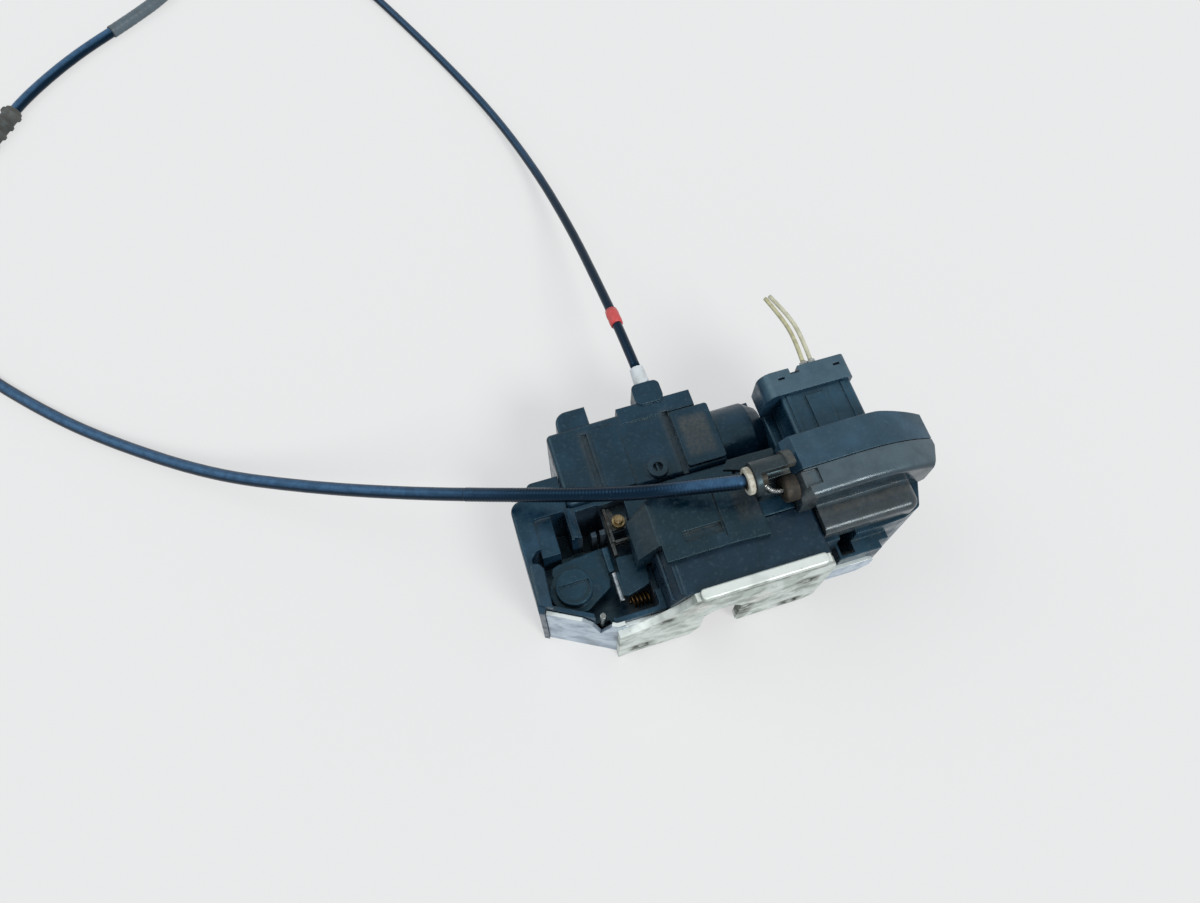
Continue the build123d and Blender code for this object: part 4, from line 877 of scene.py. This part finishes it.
def sheath_finish(name, base, scuffed, roughness, painted_sheen_at=()):
    """Extruded sheath: dark, glossy, with pale scuffs here and there and a pale sheen painted on its top on
    some stretches.
    """
    f = Finish(name, roughness, 0.0, 0.5)
    f.shader.inputs["Specular Tint"].default_value = BLUE_SHEEN
    scuffs = f.between(f.noise(1.4, 5.0, stretch=(1.0, 1.0, 1.6)), 0.60, 0.75, 0.0, 0.5)
    patches = f.between(f.noise(24.0, 3.0), 0.48, 0.62)
    tone = f.blend(f.maths("MULTIPLY", scuffs, patches), base, scuffed)
    # painted sheen: upward faces in the given stretches are painted pale blue
    for low, high, soft_mm, share in painted_sheen_at:
        painted_sheen = f.maths("MULTIPLY", f.upward(), f.between(f.noise(3.0, 4.0), 0.25, 0.65, 0.6, 1.0))
        painted_sheen = f.maths("MULTIPLY", painted_sheen, f.region(low, high, soft_mm))
        tone = f.blend(f.maths("MULTIPLY", painted_sheen, share), tone, PAINTED_SHEATH_SHEEN)
    f.paint(tone)
    f.rough(f.between(f.noise(5.0, 4.0), 0.3, 0.7, roughness - 0.06, roughness + 0.14))
    f.bump(f.noise(0.7, 2.0), 0.012)
    return f.material


print("ways to finish soft stuff:", soft_finish.__name__, sheath_finish.__name__)

# %% [markdown]
# The white ferrule is darkened almost to black where it meets its bracket. The stretches of the sheaths with
# a painted pale sheen on top are boxes with a wide soft border, so that the paleness comes and goes slowly
# along the cable.

# %% The soft and small pieces
OTHERS = [
    soft_finish("buffer_rubber", colour(0.012, 0.013, 0.014), ROAD_DUST, 0.6, 0.5),
    soft_finish("boot_rubber", colour(0.022, 0.020, 0.017), colour(0.075, 0.060, 0.042), 0.58, 0.8),
    soft_finish("seal_rubber", colour(0.56, 0.58, 0.54), colour(0.20, 0.18, 0.13), 0.55, 0.5),
    soft_finish("ferrule_white", colour(0.66, 0.64, 0.54), colour(0.24, 0.19, 0.11), 0.42, 0.75,
                cloud_mm=2.2, darkened_at=((59.6, 25, 60), (66, 40, 76))),
    soft_finish("rear_ferrule_white", colour(0.76, 0.82, 0.84), colour(0.46, 0.44, 0.38), 0.36, 0.35),
    soft_finish("wheel_nylon", colour(0.72, 0.69, 0.60), colour(0.40, 0.32, 0.18), 0.40, 0.45),
    soft_finish("sleeve_grey", colour(0.105, 0.140, 0.165), colour(0.060, 0.070, 0.075), 0.36, 0.4),
    soft_finish("band_red", colour(0.70, 0.085, 0.085), colour(0.40, 0.05, 0.05), 0.34, 0.35, 0.5, 1.8),
    soft_finish("insulation_left", colour(0.62, 0.60, 0.38), colour(0.30, 0.26, 0.15), 0.42, 0.5),
    soft_finish("insulation_right", colour(0.70, 0.69, 0.52), colour(0.36, 0.32, 0.20), 0.42, 0.4),
    # painted sheen: the pale tops in these stretches of both sheaths
    sheath_finish("front_sheath", colour(0.0005, 0.0020, 0.0055), colour(0.04, 0.07, 0.10), 0.22, painted_sheen_at=[
        ((-400, -20, -40), (-40, 480, 90), 30.0, 0.85),
        ((34, 0, 50), (70, 60, 90), 10.0, 0.80)]),
    sheath_finish("rear_sheath", colour(0.001, 0.004, 0.009), colour(0.06, 0.09, 0.12), 0.22, painted_sheen_at=[
        ((-100, 230, -40), (60, 480, 90), 30.0, 0.40)]),
]
print("other finishes:", len(OTHERS))

# %% [markdown]
# The liner is wound from thin bright strands that lie at a slant. A wave pattern whose bands lean across it
# gives both their colour and their bump; on a tube about two millimetres thick that reads as strands.

# %% Wound strands
STRAND_LEAN, STRAND_MM = 55.0, 2.0


def stranded(name):
    """Bright steel strands wound side by side."""
    f = Finish(name, 0.26, 1.0, 0.5)
    mapping = f.nodes.new("ShaderNodeMapping")
    mapping.inputs["Rotation"].default_value = (0.0, 0.0, math.radians(STRAND_LEAN))
    f.links.new(f.place, mapping.inputs["Vector"])
    wave = f.nodes.new("ShaderNodeTexWave")
    wave.inputs["Scale"].default_value = 1.0 / (STRAND_MM * MM)
    wave.inputs["Distortion"].default_value = 0.4
    f.links.new(mapping.outputs[0], wave.inputs["Vector"])
    f.paint(f.blend(wave.outputs["Fac"], colour(0.16, 0.17, 0.17), colour(0.32, 0.34, 0.34)))
    f.bump(wave.outputs["Fac"], 0.05)
    return f.material


print("strands lean by", STRAND_LEAN, "degrees")

# %% [markdown]
# Every solid of the frame names the finish it wants in its material slot. Blender adds a number to a name
# that is taken, so only the part before the dot counts. The pieces made above have no slot yet and get one.

# %% Put each finish on the pieces of its slot
def plain_name(material):
    """Name without Blender's number."""
    return material.name.split(".")[0]


FINISHES = {plain_name(made): made for made in PLASTICS + METALS + OTHERS + [stranded("wire_steel")]}
for node in NODES.values():
    wanted = plain_name(node.material_slots[0].material)
    for slot in node.material_slots:
        slot.material = FINISHES[wanted]

NEW_PIECES = (
    (front_cable, "front_sheath"), (armour_ribs, "front_sheath"), (rear_cable, "rear_sheath"),
    (wire_left, "insulation_left"), (wire_right, "insulation_right"), (wire_liner, "wire_steel"),
    (panel_clip, "clip_plastic"), (outer_sleeve, "sleeve_grey"), (red_band, "band_red"),
    (case_web, "actuator_case_plastic"), (tower_wall, "housing_plastic"))
for piece, wanted in NEW_PIECES:
    piece.data.materials.append(FINISHES[wanted])
print("finishes:", len(FINISHES), "solids dressed:", len(NODES), "new pieces dressed:", len(NEW_PIECES))

# %% [markdown]
# The Standard view keeps the colours as they were mixed, without a film look over them.

# %% View settings
bpy.context.scene.view_settings.view_transform = "Standard"
bpy.context.view_layer.update()
print("view transform:", bpy.context.scene.view_settings.view_transform)
